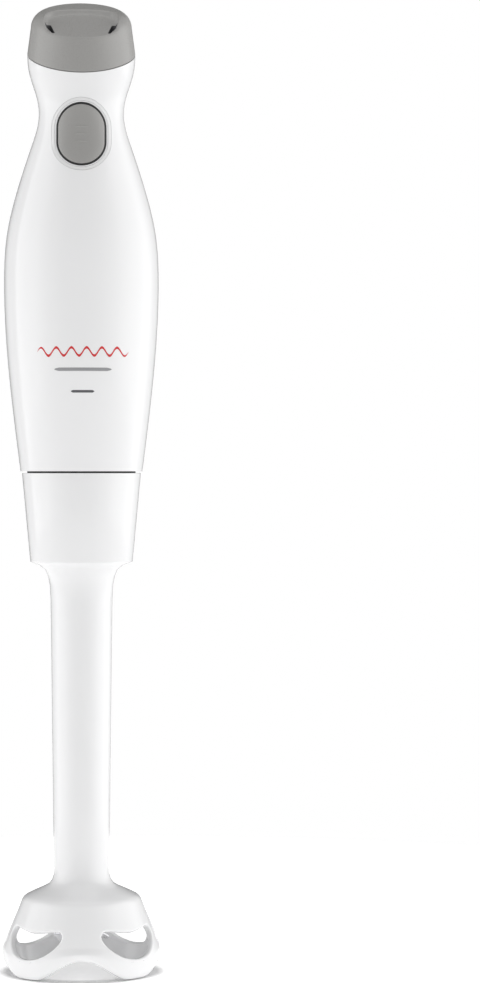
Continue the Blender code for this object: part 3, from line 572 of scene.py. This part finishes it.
def oval_distance(x, z):
    """How far outside the hole's edge a point of the front surface is."""
    straight = HOLE_HALF[1] - HOLE_HALF[0]
    return math.hypot(x, max(abs(z - BUTTON_Z) - straight, 0.0)) - HOLE_HALF[0]


def recess_depth(distance):
    """How deep the surface round the button's hole lies: a groove that holds a grey ring of painted shade, then a
    rounded lip.
    """
    if distance >= RECESS_WIDTH:
        return 0.0
    if distance > LIP_WIDTH:
        to_edge = min(RECESS_WIDTH - distance, distance - LIP_WIDTH)
        return RECESS_DEPTH * min(to_edge / RECESS_WALL, 1.0)
    t = 1 - max(distance, 0.0) / LIP_WIDTH
    return LIP_WIDTH * 0.8 * (1 - math.sqrt(max(1 - t * t, 0.0)))


def shell_point(u, v, side, inset, recess=False):
    """A point of a shell: u is the angle from the middle of its side, v the share of the way up to the cap."""
    top = joint_at(u if side < 0 else math.pi - u) - LIP_GAP
    z = HANDLE_BOTTOM + v * (top - HANDLE_BOTTOM)
    radius = handle_radius(z) - inset
    if recess:
        radius -= recess_depth(oval_distance(radius * math.sin(u), z))
    return Vector((radius * math.sin(u), side * radius * math.cos(u), z))


def front_uv(x, z, inset):
    """Where on the front shell a point seen at (x, z) lies."""
    u = math.asin(x / (handle_radius(z) - inset))
    top = joint_at(u) - LIP_GAP
    return u, (z - HANDLE_BOTTOM) / (top - HANDLE_BOTTOM)


def shell_solid(sheet, side):
    """Closes a sheet into a wall: outside, inside, and a strip along every edge, that of a hole included."""
    bm = bmesh.new()
    outer = [bm.verts.new(shell_point(u, v, side, 0.0, recess=side < 0)) for u, v in sheet.points]
    inner = [bm.verts.new(shell_point(u, v, side, WALL)) for u, v in sheet.points]
    borders = set()
    for face in sheet.faces:
        bm.faces.new([outer[i] for i in face])
        bm.faces.new([inner[i] for i in reversed(face)])
        for a, b in zip(face, face[1:] + face[:1]):
            if (b, a) in borders:
                borders.remove((b, a))
            else:
                borders.add((a, b))
    for a, b in sorted(borders):
        bm.faces.new((outer[a], inner[a], inner[b], outer[b]))
    for vert in bm.verts:
        vert.co.y += side * SEAM
    return bm


def shell_grid():
    """The angles and the shares of the height at which both shells have their points."""
    us = [math.radians(-90 + 180 * i / SHELL_COLUMNS) for i in range(SHELL_COLUMNS + 1)]
    return us, [j / SHELL_ROWS for j in range(SHELL_ROWS + 1)]


def front_shell():
    """The handle's front half, whose mesh runs in rings round the button's hole."""
    us, vs = shell_grid()
    i0 = min(range(len(us)), key=lambda i: abs(us[i] + PATCH_HALF[0]))
    i1 = len(us) - 1 - i0
    low, high = (front_uv(0, BUTTON_Z + s * PATCH_HALF[1], 0)[1] for s in (-1, 1))
    j0 = min(range(len(vs)), key=lambda j: abs(vs[j] - low))
    j1 = min(range(len(vs)), key=lambda j: abs(vs[j] - high))
    sheet = Sheet()
    sheet.grid(us, vs, [(i0, i1, j0, j1)])
    frame_loop = rectangle_loop(us, vs, i0, i1, j0, j1)
    angles = []
    for u, v in frame_loop:
        spot = shell_point(u, v, -1, 0)
        angles.append(math.atan2((spot.z - BUTTON_Z) / HOLE_HALF[1], spot.x / HOLE_HALF[0]))
    ovals = []
    for grow in HOLE_RINGS:
        loop = []
        for angle in angles:
            x, z = oval_point(HOLE_HALF, grow, angle)
            loop.append(front_uv(x, z + BUTTON_Z, 0))
        ovals.append(loop)
    between = []
    for share in (0.3, 0.6, 0.82):
        pairs = zip(frame_loop, ovals[0])
        between.append([tuple((1 - share) * a + share * b for a, b in zip(p, q)) for p, q in pairs])
    sheet.rings([frame_loop, *between, *ovals])
    piece("handle_front", shell_solid(sheet, -1), "motor_unit", "white_plastic", ["front_shell"])


def rear_shell():
    """The handle's rear half with its two groups of vents."""
    sheet = Sheet()
    sheet.grid(*shell_grid())
    obj = piece("handle_rear", shell_solid(sheet, 1), "motor_unit", "white_plastic", ["rear_shell"])
    cut(obj, *[vent_slot(z) for z in VENT_HEIGHTS])


def vent_slot(z):
    """A cutter for one vent, with round ends."""
    half_length, half_height = VENT_HALF
    outline = []
    for k in range(24):
        angle = 2 * math.pi * (k + 0.5) / 24
        side = half_length if math.cos(angle) > 0 else -half_length
        outline.append((side + half_height * math.cos(angle), half_height * math.sin(angle)))
    return laid_along_y(prism(outline, 12, 40), 0, z)


# ---- cap


def smooth_min(a, b, softness):
    """The lower of two values, with the corner between them rounded."""
    h = max(softness - abs(a - b), 0.0) / softness
    return min(a, b) - h * h * softness / 4


def cap_top(x, y):
    """Height of the cap's top: a filleted slanting crest with a dish scooped out of it."""
    edge = max(CAP_RADIUS - math.hypot(x, y), 0.0)
    crest = CREST_Z + math.tan(CREST_TILT) * y
    if edge < CAP_FILLET:
        crest -= CAP_FILLET - math.sqrt(CAP_FILLET**2 - (CAP_FILLET - edge) ** 2)
    reach = (abs(x) / DISH_HALF[0]) ** DISH_POWER + (abs(y - DISH_CENTRE_Y) / DISH_HALF[1]) ** DISH_POWER
    beyond = max(reach ** (1 / DISH_POWER) - DISH_WALL_FROM, 0.0) / (1 - DISH_WALL_FROM)
    dish = DISH_Z + math.tan(DISH_TILT) * y + DISH_WALL_RISE * beyond**2
    return smooth_min(crest, dish, DISH_SOFTNESS)


def cap_rings():
    """The cap's surface as rings, from the middle of its top over the edge and the joint into its hollow."""
    angles = turns(CAP_COLUMNS)
    rings = [[(0, 0, cap_top(0, 0))]]
    fractions = [0.02 * k for k in range(1, 36)] + [0.7 + 0.01 * k for k in range(1, 26)]
    fractions += [0.96, 0.97, 0.98, 0.987, 0.993, 0.997, 0.9992, 1.0]
    for share in fractions:
        flat = [on_circle(share * CAP_RADIUS, a, 0) for a in angles]
        rings.append([(x, y, cap_top(x, y)) for x, y, _ in flat])
    tops = [z for _, _, z in rings[-1]]
    joints = [joint_at(a) for a in angles]
    radii = [handle_radius(j) for j in joints]
    rounding = CAP_EDGE_ROUNDING
    for k in range(1, CAP_SKIRT_ROWS + 1):
        share = k / CAP_SKIRT_ROWS
        ring = []
        for a, top, joint, outer in zip(angles, tops, joints, radii):
            z = top + (joint + LIP_GAP + rounding - top) * share
            ring.append(on_circle(CAP_RADIUS + (outer - CAP_RADIUS) * share, a, z))
        rings.append(ring)
    for turn in (30, 60, 90):
        inset, rise = rounding * (1 - math.cos(math.radians(turn))), rounding * (1 - math.sin(math.radians(turn)))
        rings.append([on_circle(r - inset, a, j + LIP_GAP + rise) for a, j, r in zip(angles, joints, radii)])
    near, far = (WALL + inset for inset in SKIRT_INSETS)
    for inset, rise in ((near, LIP_GAP), (near, -SKIRT_DEPTH), (far, -SKIRT_DEPTH), (far, CAVITY_RISE)):
        flat = [on_circle(r - inset, a, 0) for a, r in zip(angles, radii)]
        rings.append([(x, y, joint_height(y) + rise) for x, y, _ in flat])
    return rings + [[(0, 0, joint_height(0) + CAVITY_RISE)]]


def eye_slot(side):
    """A cutter for one of the hanging eye's two tapered slots."""
    (x0, y0), (x1, y1) = EYE_SLOT_ENDS
    a, b = Vector((side * x0, y0)), Vector((side * x1, y1))
    along = (b - a).normalized()
    across = Vector((-along.y, along.x))
    outline = []
    for end, direction, half in ((a, -1, EYE_SLOT_HALF[0]), (b, 1, EYE_SLOT_HALF[1])):
        for k in range(7):
            turn = math.pi * (k / 6 - 0.5)
            spot = end + along * direction * half * 0.7 * math.cos(turn)
            spot += across * half * math.sin(turn) * direction * -1
            outline.append(tuple(spot))
    return prism(outline, EYE_TUNNEL[2][0] + 0.5, EYE_CUT_TOP)


def cap():
    """The slanted cap with its dish, its hanging eye and the bore for the cord's bush."""
    obj = piece("cap_shell", grid_mesh(cap_rings()), "motor_unit", "grey_plastic", ["top_cap"], sharp=50)
    bore = revolved([(0, 6), (CORD_BORE, 6), (CORD_BORE, 30), (0, 30)], 48)
    # The faces cut by the eye's slots and tunnel take the dark nylon material: painted shade for the dark inside
    # of the deep slots.
    cut(obj, eye_slot(-1), eye_slot(1), block(*EYE_TUNNEL), inside=MATERIALS["dark_nylon"])
    cut(obj, laid_along_y(bore, 0, CORD_Z))


def gland():
    """The rubber bush in the cap that the mains cord leaves through."""
    outside = cad("cord_gland", 1, "y")
    profile = rounded(
        [
            (3.3, 12.0, 0.2),
            (4.0, 12.0, 0.2),
            (4.0, outside - 1.9),
            (5.7, outside - 1.9, 0.3),
            (5.5, outside - 0.4, 0.5),
            (3.3, outside, 0.8),
        ]
    )
    bush = laid_along_y(revolved(profile, 48), 0, CORD_Z)
    piece("cord_bush", bush, "motor_unit", "black_rubber", ["cord_gland"])


# ---- button


def handle_front_y(x, z, out=0.0):
    """The y of a point seen from the front at (x, z), this far outside the handle's surface."""
    radius = handle_radius(z) + out
    return -math.sqrt(max(radius**2 - x**2, 0.0))


def front_ring(half, grow, out, steps=BUTTON_STEPS):
    """An oval round the button's centre that lies on the handle's front, this far outside its surface."""
    spots = [(x, z + BUTTON_Z) for x, z in oval(half, grow, steps)]
    return [(x, handle_front_y(x, z, out), z) for x, z in spots]


def button():
    """A crowned pad with a rolled edge and three low ribs, on a stem, held in by a catch above and below."""
    rings = [[(0, handle_front_y(0, BUTTON_Z, BUTTON_CROWN), BUTTON_Z)]]
    for share in [k / 18 for k in range(1, 18)]:
        ring = []
        for x, z in oval(BUTTON_HALF, -BUTTON_ROLL, BUTTON_STEPS):
            px, pz = x * share, BUTTON_Z + z * share
            ring.append((px, handle_front_y(px, pz, BUTTON_CROWN - BUTTON_SAG * share**6), pz))
        rings.append(ring)
    for turn in (0, 20, 40, 60, 80, 90):
        t = math.radians(turn)
        out = BUTTON_CROWN - BUTTON_SAG - BUTTON_ROLL * (1 - math.cos(t))
        rings.append(front_ring(BUTTON_HALF, -BUTTON_ROLL * (1 - math.sin(t)), out))
    rings.append([(x, BUTTON_BACK, z + BUTTON_Z) for x, z in oval(BUTTON_HALF, 0, BUTTON_STEPS)])
    rings.append([(0, BUTTON_BACK, BUTTON_Z)])
    piece("button_pad", grid_mesh(rings), "button", "grey_plastic", ["power_button"], sharp=50)
    length = cad("power_button", 1, "y") - BUTTON_BACK
    stem = revolved(rounded([(0, 0), (3.0, 0), (2.2, 0.9), (2.0, 1.4), (2.0, length, 0.4), (0, length)]), 40)
    piece("button_stem", laid_along_y(stem, BUTTON_BACK, BUTTON_Z), "button", "grey_plastic")
    for name, heights in zip(("lower", "upper"), TAB_HEIGHTS):
        tab = block((-4, 4), (BUTTON_BACK - 1.2, BUTTON_BACK + 0.6), heights)
        bmesh.ops.bevel(tab, geom=tab.edges, offset=0.25, segments=2, affect="EDGES")
        piece(f"button_catch_{name}", tab, "button", "grey_plastic")
    for k, z in enumerate(GRIP_RIBS):
        piece(f"button_rib_{k + 1}", grip_rib(BUTTON_Z + z), "button", "grey_plastic", sharp=60)


def grip_rib(z):
    """A low rounded bar that lies across the button."""
    half_length, half_width = GRIP_RIB_HALF
    rings = []
    steps, sides = 24, 12
    for k in range(steps + 1):
        share = -math.cos(math.pi * k / steps)
        x = half_length * share
        size = max(math.sqrt(max(1 - share**8, 0.0)), 0.02)
        surface = handle_front_y(x, z, BUTTON_CROWN)
        ring = []
        for turn in turns(sides):
            y = surface - GRIP_RIB_HEIGHT * size * math.sin(turn)
            ring.append((x, y, z + half_width * size * math.cos(turn)))
        rings.append(ring)
    bm = grid_mesh(rings)
    close_ends(bm, sides)
    return bm


def button_spring():
    """A coil spring behind the button with closed end turns, built at its rest length in a mesh of its own."""
    near, far = cad("button_spring", 0, "y"), cad("button_spring", 1, "y")
    steps, sides = 40, 12
    margin = SPRING_WIRE + SPRING_CLEARANCE
    rings = []
    for k in range(SPRING_TURNS * steps + 1):
        angle = 2 * math.pi * k / steps
        climb = (k / steps - SPRING_END_TURNS) / (SPRING_TURNS - 2 * SPRING_END_TURNS)
        middle = near + margin + (far - near - 2 * margin) * min(max(climb, 0.0), 1.0)
        ring = []
        for turn in turns(sides):
            reach = SPRING_RADIUS + SPRING_WIRE * math.cos(turn)
            x, z = reach * math.cos(angle), BUTTON_Z + reach * math.sin(angle)
            ring.append((x, middle + SPRING_WIRE * math.sin(turn), z))
        rings.append(ring)
    bm = grid_mesh(rings)
    close_ends(bm, sides)
    coil = piece("spring_coil", bm, "motor_unit", "steel", ["button_spring"])
    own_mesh(coil)


def button_seal():
    """A thin dark lip that fills the gap between button and handle."""
    section = ((0.02, -0.4), (0.15, -0.25), (0.65, -0.25), (0.8, -0.4), (0.8, -2.2), (0.02, -2.2))
    rings = [front_ring(HOLE_HALF, -inset, out) for inset, out in section]
    surround = grid_mesh(rings, closed_loop=True)
    piece("button_surround", surround, "motor_unit", "black_rubber", ["button_seal"])


def button_groove_painted_shade():
    """A light grey ring in the groove round the button: painted shade that stands for the groove's shadow."""
    near, far = LIP_WIDTH + 0.14, RECESS_WIDTH - 0.14
    section = ((near, -0.2), (near + 0.08, -0.1), (far - 0.08, -0.1), (far, -0.2), (far, -0.42), (near, -0.42))
    rings = [front_ring(HOLE_HALF, grow, out, 160) for grow, out in section]
    shade_ring = grid_mesh(rings, closed_loop=True)
    bmesh.ops.translate(shade_ring, vec=(0, -SEAM, 0), verts=shade_ring.verts)
    piece("button_groove_painted_shade", shade_ring, "motor_unit", "white_plastic", material=MATERIALS["groove_painted_shade"])


# ---- printed marks


def print_on_handle(name, outline, material, lift=0.10):
    """A thin film on the front of the handle with this (x, z) outline, cut into strips along the curve."""
    bm = bmesh.new()
    bottom = [bm.verts.new((x, handle_front_y(x, z, lift - 0.02), z)) for x, z in outline]
    top = [bm.verts.new((x, handle_front_y(x, z, lift), z)) for x, z in outline]
    n = len(outline)
    half = n // 2
    for verts, flip in ((bottom, True), (top, False)):
        for k in range(half - 1):
            quad = (verts[k], verts[k + 1], verts[n - 2 - k], verts[n - 1 - k])
            bm.faces.new(tuple(reversed(quad)) if flip else quad)
    bridge(bm, bottom, top)
    return piece(name, bm, "motor_unit", "white_plastic", material=material)


def bar_outline(x0, x1, z, height, waves=0.0, periods=0, steps=120):
    """A ribbon from x0 to x1: its two edges in order, with pointed ends."""
    upper, lower = [], []
    for k in range(steps + 1):
        share = k / steps
        x = x0 + (x1 - x0) * share
        taper = min(1.0, 12 * share, 12 * (1 - share)) ** 0.5
        centre = z + waves * math.sin(2 * math.pi * periods * share)
        half = max(height / 2 * taper, 0.02)
        upper.append((x, centre + half))
        lower.append((x, centre - half))
    return upper + lower[::-1]


# ---- foot


def wave(angle):
    """Height of the rim above the table: four arches, and between them four feet that run into them smoothly."""
    arch = RIM_ARCH * math.cos(angle) ** 2 + RIM_SIDE_ARCH * math.sin(angle) ** 2
    return -smooth_min(RIM_FLAT - (arch + RIM_FLAT) * (1 + math.cos(4 * angle)) / 2, 0.0, RIM_SOFTNESS)


def rim_lift(angle, z):
    """How far the wave of the rim lifts a point that was at height z."""
    return wave(angle) * max(RIM_BLEND_Z - z, 0.0) / RIM_BLEND_Z


def unlifted(angle, z):
    """The height that the wave lifts to z at this angle."""
    if z >= RIM_BLEND_Z:
        return z
    return (z - wave(angle)) / (1 - wave(angle) / RIM_BLEND_Z)


bell_radius = smooth_curve(BELL_CURVE)


def bell_point(angle, z, depth=0.0):
    """A point on the bell's wall, this deep below its outer surface; z is its height before the wave."""
    step = 0.2
    slope = (bell_radius(z + step) - bell_radius(z - step)) / (2 * step)
    normal = Vector((1.0, -slope)).normalized()
    r = bell_radius(z) - normal.x * depth
    return on_circle(r, angle, z - normal.y * depth + rim_lift(angle, z))


def window_loop(grow):
    """The window's outline as a smooth closed line of (arc length, height), moved out by grow."""
    right = [(math.radians(a) * WINDOW_RADIUS, z) for a, z in WINDOW_OUTLINE]
    corners = right + [(-s, z) for s, z in reversed(right[1:-1])]
    n = len(corners)
    line = []
    for i in range(n):
        p0, p1, p2, p3 = (Vector(corners[(i + k) % n]) for k in (-1, 0, 1, 2))
        for k in range(12):
            t = k / 12
            square, cube = 2 * p0 - 5 * p1 + 4 * p2 - p3, 3 * p1 - p0 - 3 * p2 + p3
            line.append(0.5 * (2 * p1 + (p2 - p0) * t + square * t**2 + cube * t**3))
    if grow:
        count = len(line)
        moved = []
        for i in range(count):
            tangent = (line[(i + 1) % count] - line[i - 1]).normalized()
            moved.append(line[i] + Vector((tangent.y, -tangent.x)) * grow)
        line = moved
    return line


def ray_hit(line, centre, direction):
    """Where a ray from the centre crosses a closed line."""
    best = None
    for a, b in zip(line, line[1:] + line[:1]):
        edge, start = b - a, a - centre
        bottom = direction.x * edge.y - direction.y * edge.x
        if abs(bottom) < 1e-12:
            continue
        reach = (start.x * edge.y - start.y * edge.x) / bottom
        share = (start.x * direction.y - start.y * direction.x) / bottom
        if reach > 0 and -1e-9 <= share <= 1 + 1e-9 and (best is None or reach > best):
            best = reach
    return centre + direction * best


def window_profile():
    """The rounded edge of a window, from the outer face to the inner: (distance from the opening, depth)."""
    arc = [math.radians(a) for a in range(15, 91, 15)]
    profile = [(1.6 * WINDOW_FILLET, 0.0), (1.0 * WINDOW_FILLET, 0.0)]
    profile += [(WINDOW_FILLET * (1 - math.sin(t)), WINDOW_FILLET * (1 - math.cos(t))) for t in arc]
    profile += [(0.0, BELL_WALL / 2)]
    return profile + [(g, BELL_WALL - d) for g, d in reversed(profile[:-1])]


def patch_edge(centre, low_row):
    """The (column, row) points round a window's patch, in order."""
    half, top = WINDOW_COLUMNS, WINDOW_TOP_ROW
    columns = [(centre - half + k) % FOOT_COLUMNS for k in range(2 * half + 1)]
    rows = range(top, low_row + 1)
    edge = [(columns[k], top) for k in range(2 * half)]
    edge += [(columns[-1], j) for j in rows[:-1]]
    edge += [(columns[k], low_row) for k in range(2 * half, 0, -1)]
    return edge + [(columns[0], j) for j in reversed(rows[1:])]


def foot():
    """Collar, tube and bell in one moulding. The windows' edges are rounded on both faces of the wall."""
    zone = np.linspace(BELL_ZONE[0], BELL_ZONE[1], BELL_ZONE_ROWS)
    last = len(zone) - 1
    angles = turns(FOOT_COLUMNS)
    bm = bmesh.new()

    def plain_row(r, z):
        return [bm.verts.new(on_circle(r, a, z + rim_lift(a, z))) for a in angles]

    rows = [plain_row(*p) for p in rounded(FOOT_OUTSIDE, 4)]
    outer_zone = len(rows)
    rows += [[bm.verts.new(bell_point(a, z)) for a in angles] for z in zone]
    rows += [plain_row(*p) for p in rounded(FOOT_RIM, 3)]
    inner_zone = len(rows)
    rows += [[bm.verts.new(bell_point(a, z, BELL_WALL)) for a in angles] for z in reversed(zone)]
    rows += [plain_row(*p) for p in FOOT_INSIDE]

    centres = [FOOT_COLUMNS // 8 + k * FOOT_COLUMNS // 4 for k in range(4)]
    patch_rows = {*range(outer_zone + WINDOW_TOP_ROW, outer_zone + last)}
    patch_rows |= {*range(inner_zone, inner_zone + last - WINDOW_TOP_ROW)}
    patch_columns = {(c - WINDOW_COLUMNS + k) % FOOT_COLUMNS for c in centres for k in range(2 * WINDOW_COLUMNS)}
    for i, (row, next_row) in enumerate(zip(rows, rows[1:] + rows[:1])):
        for k, corners in enumerate(quads(row, next_row)):
            if i not in patch_rows or k not in patch_columns:
                bm.faces.new(corners)

    profile = window_profile()
    loops = [window_loop(g) for g, _ in profile]
    heart = Vector((0.0, WINDOW_HEART_Z))
    for c in centres:
        middle = angles[c]
        edge = patch_edge(c, last)
        flat = []
        for column, j in edge:
            turn = (angles[column] - middle + math.pi) % (2 * math.pi) - math.pi
            flat.append(Vector((turn * WINDOW_RADIUS, zone[j] + rim_lift(angles[column], zone[j]))))
        directions = [(p - heart).normalized() for p in flat]
        lines = [[ray_hit(line, heart, d) for d in directions] for line in loops]

        def place(spot, depth):
            angle = middle + spot.x / WINDOW_RADIUS
            return bm.verts.new(bell_point(angle, unlifted(angle, spot.y), depth))

        bands = [[rows[outer_zone + j][column] for column, j in edge]]
        for share in (0.35, 0.7):
            bands.append([place(p.lerp(q, share), 0.0) for p, q in zip(flat, lines[0])])
        for line, (_, depth) in zip(lines, profile):
            bands.append([place(spot, depth) for spot in line])
        for share in (0.7, 0.35):
            bands.append([place(p.lerp(q, share), BELL_WALL) for p, q in zip(flat, lines[-1])])
        bands.append([rows[inner_zone + last - j][column] for column, j in edge])
        for a, b in zip(bands, bands[1:]):
            bridge(bm, a, b)
    piece("foot_moulding", bm, "foot", "white_plastic", ["foot_housing"], sharp=40)


def foot_seal():
    """The dark gasket between the foot's collar and the handle."""
    low, high = cad("foot_gasket", 0, "z"), cad("foot_gasket", 1, "z")
    profile = rounded([(17.8, low, 0.2), (21.6, low, 0.3), (21.6, high, 0.3), (17.8, high, 0.2)], 3)
    piece("joint_gasket", revolved(profile, 128), "joint_ring", "black_rubber", ["foot_gasket"])


def helical_rib(radii, base, start):
    """A thread rib that climbs with the thread's lead, with chamfered flanks and tapered ends."""
    inner, outer = radii
    steps = 36
    rings = []
    for k in range(steps + 1):
        share = k / steps
        turn = THREAD_ARC * share
        low = base + THREAD_LEAD * turn / (2 * math.pi)
        high = low + LUG_THICKNESS
        taper = min(1.0, share / LUG_LEAD_IN, (1 - share) / LUG_LEAD_IN)
        crest = inner + (outer - inner) * (0.35 + 0.65 * math.sqrt(taper))
        slope = 0.35 * abs(crest - inner)
        section = ((inner, low), (crest, low + slope), (crest, high - slope), (inner, high))
        angle = start + turn
        rings.append([(r * math.cos(angle), r * math.sin(angle), z) for r, z in section])
    bm = grid_mesh(rings)
    close_ends(bm, 4)
    return bm


def joint_parts():
    """The handle's threaded spigot and the ribs inside the foot's collar."""
    spigot = revolved(rounded(SPIGOT_PROFILE))
    piece("threaded_spigot", spigot, "motor_unit", "dark_nylon", ["motor_spigot"])
    base = LUG_Z + LUG_THICKNESS + LUG_CLEARANCE
    for k in range(2):
        lug = helical_rib((17.0, 19.4), LUG_Z, math.pi * k)
        piece(f"spigot_thread_{k + 1}", lug, "motor_unit", "dark_nylon")
        rib = helical_rib((20.4, 17.8), base, math.pi * k)
        piece(f"collar_thread_{k + 1}", rib, "foot", "white_plastic")


# ---- blade and drive line


def blade_section(share):
    """The blade's outline across its length: a ground edge in front, a plain edge behind."""
    lead, trail = 5.2 - 2.3 * abs(share) ** 2, -5.2 + 2.9 * abs(share) ** 1.5
    if abs(share) > 0.88:
        t = (abs(share) - 0.88) / 0.12
        narrow = math.sqrt(max(1 - t * t, 0.0)) * 0.62 + 0.38
        lead, trail = lead * narrow, trail * narrow
    half = BLADE_THICKNESS / 2
    ground = 1.9 if abs(share) > 0.3 else 0.25
    edge = 0.12 if abs(share) > 0.3 else half - 0.2
    section = [(trail, -half + 0.2), (trail + 0.2, -half), (lead - ground, -half), (lead, -edge)]
    section += [(w, -h) for w, h in reversed(section)]
    if share < 0:
        section = [(-w, h) for w, h in section][::-1]
    return section


def blade():
    """Two swept wings in one strip of steel; one wing is bent up and the other down."""
    bend_from = 0.5 * BLADE_LENGTH
    rings = []
    stations = [0.02 * k for k in range(15, 45)] + [0.9, 0.92, 0.94, 0.96, 0.975, 0.988, 0.996, 1.0]
    stations = [-s for s in reversed(stations)] + [-0.29, -0.15, 0.0, 0.15, 0.29] + stations
    for share in stations:
        reach, side = abs(share) * BLADE_LENGTH, 1 if share > 0 else -1
        bend = BLADE_BENDS[0] if side > 0 else BLADE_BENDS[1]
        turned = min(max((reach - bend_from + 1.2) / 2.4, 0.0), 1.0)
        past = max(reach - bend_from, 0.0) if not 0 < turned < 1 else 1.2 * turned**2
        along = side * (reach - past * (1 - math.cos(bend)))
        lift = past * math.sin(bend)
        rings.append([(along, w, BLADE_Z + h + lift) for w, h in blade_section(share)])
    bm = grid_mesh(rings)
    close_ends(bm, len(rings[0]))
    bm.transform(Matrix.Rotation(BLADE_REST_ANGLE, 4, "Z"))
    piece("blade_strip", bm, "foot_drive", "steel", ["blade"], sharp=20)


def drive_line():
    """The blade with its hub and nut, the foot's shaft, and the steel cup round its seal."""
    blade()
    piece("hub_boss", revolved(rounded(HUB_PROFILE), 64), "foot_drive", "dark_nylon", ["blade_hub"])
    corners = [(NUT_RADIUS * math.cos(k * math.pi / 3), NUT_RADIUS * math.sin(k * math.pi / 3)) for k in range(6)]
    nut = prism(corners, *NUT_HEIGHTS)
    bmesh.ops.bevel(nut, geom=nut.edges, offset=0.3, segments=3, affect="EDGES")
    piece("hex_nut", nut, "foot_drive", "steel", ["blade_nut"])
    piece("shaft_rod", revolved(rounded(SHAFT_PROFILE), 48), "foot_drive", "steel", ["drive_shaft"])
    piece("steel_cup", revolved(rounded(SEAL_CUP_PROFILE), 64), "foot", "steel", ["seal_cup"])


# ---- stage, light and camera


def floor():
    """A round white floor that glows round the blender; its weaker glow under the bell is painted light, and the
    gap in the glow right below the rim is a painted contact shadow.
    """
    bm = bmesh.new()
    bmesh.ops.create_circle(bm, cap_ends=True, segments=96, radius=FLOOR_RADIUS)
    mesh = bpy.data.meshes.new("floor")
    bm.to_mesh(mesh)
    bm.free()
    material = new_material(*FLOOR_FINISH)
    tree = material.node_tree
    place = tree.nodes.new("ShaderNodeTexCoord").outputs["Object"]
    distance = add_node(tree, "ShaderNodeVectorMath", {0: place}, operation="LENGTH")
    share = add_node(tree, "ShaderNodeMath", {0: distance.outputs["Value"], 1: GLOW_REACH}, operation="DIVIDE")
    # The floor's glow by distance from the axis: weaker under the bell as painted light, and off in a ring below
    # the rim as a painted contact shadow.
    glow_and_painted_shadow = grey_ramp(tree, share.outputs["Value"], [(r / GLOW_REACH, level) for r, level in FLOOR_GLOW_AND_PAINTED_SHADOW])
    shader = tree.nodes["Principled BSDF"]
    shader.inputs["Emission Color"].default_value = grey(1)
    tree.links.new(glow_and_painted_shadow, shader.inputs["Emission Strength"])
    mesh.materials.append(material)
    obj = new_object("floor", mesh)
    obj.location.z = -FLOOR_DROP * MM


def studio():
    """A round studio: bright side walls, a dimmer front, a dark gap behind, a soft ceiling and a bright ground."""
    world = bpy.data.worlds.new("studio")
    bpy.context.scene.world = world
    world.use_nodes = True
    tree = world.node_tree
    direction = tree.nodes.new("ShaderNodeTexCoord").outputs["Generated"]
    x, y, z = add_node(tree, "ShaderNodeSeparateXYZ", {"Vector": direction}).outputs

    def calculate(operation, a, b):
        return add_node(tree, "ShaderNodeMath", {0: a, 1: b}, operation=operation).outputs["Value"]

    def blend(factor, under, level):
        inputs = {"Factor": factor, "A": under, "B": grey(level)}
        return add_node(tree, "ShaderNodeMix", inputs, data_type="RGBA").outputs["Result"]

    def step(value, edge):
        return grey_ramp(tree, value, ((edge[0], 0.0), (edge[1], 1.0)))

    azimuth = calculate("ARCTAN2", x, calculate("MULTIPLY", y, -1.0))
    share = calculate("ADD", calculate("DIVIDE", azimuth, 2 * math.pi), 0.5)
    walls = grey_ramp(tree, share, [((a + 180) / 360, level) for a, level in WALL_LIGHT])
    light = blend(step(z, CEILING_EDGE), walls, CEILING_LIGHT)
    light = blend(step(calculate("MULTIPLY", z, -1.0), GROUND_EDGE), light, GROUND_LIGHT)
    seen = tree.nodes.new("ShaderNodeLightPath").outputs["Is Camera Ray"]
    background = tree.nodes["Background"]
    background.inputs["Strength"].default_value = 1.0
    tree.links.new(blend(seen, light, 1.0), background.inputs["Color"])


def overhead_light():
    """A soft square lamp above the blender."""
    light = bpy.data.lights.new("overhead", "AREA")
    light.size = 1.0
    light.energy = OVERHEAD_POWER
    obj = new_object("overhead", light)
    obj.location = (0, 0, OVERHEAD_HEIGHT)
    obj.visible_camera = False


def camera():
    """Eye level at the joint of handle and foot; the blender stands left of the middle of the picture."""
    data = bpy.data.cameras.new("camera")
    data.lens = CAMERA_LENS
    obj = new_object("camera", data)
    obj.location = CAMERA_PLACE
    obj.rotation_euler = (Vector(CAMERA_AIM) - obj.location).to_track_quat("-Z", "Y").to_euler()
    bpy.context.scene.camera = obj
    bpy.context.scene.view_settings.view_transform = "Standard"


def main():
    """Builds every piece, the stage and the camera."""
    dress_cad_nodes()
    front_shell()
    rear_shell()
    cap()
    gland()
    button()
    button_spring()
    button_seal()
    button_groove_painted_shade()
    print_on_handle("print_red", bar_outline(-17.3, 18.4, 246.2, 1.0, 1.6, 6), MATERIALS["red_print"])
    print_on_handle("print_grey", bar_outline(-10.6, 11.8, 239.3, 1.3), MATERIALS["grey_print"])
    print_on_handle("print_small", bar_outline(-4.1, 5.0, 230.7, 1.0), MATERIALS["dark_print"])
    foot()
    foot_seal()
    joint_parts()
    drive_line()
    floor()
    studio()
    overhead_light()
    camera()


main()
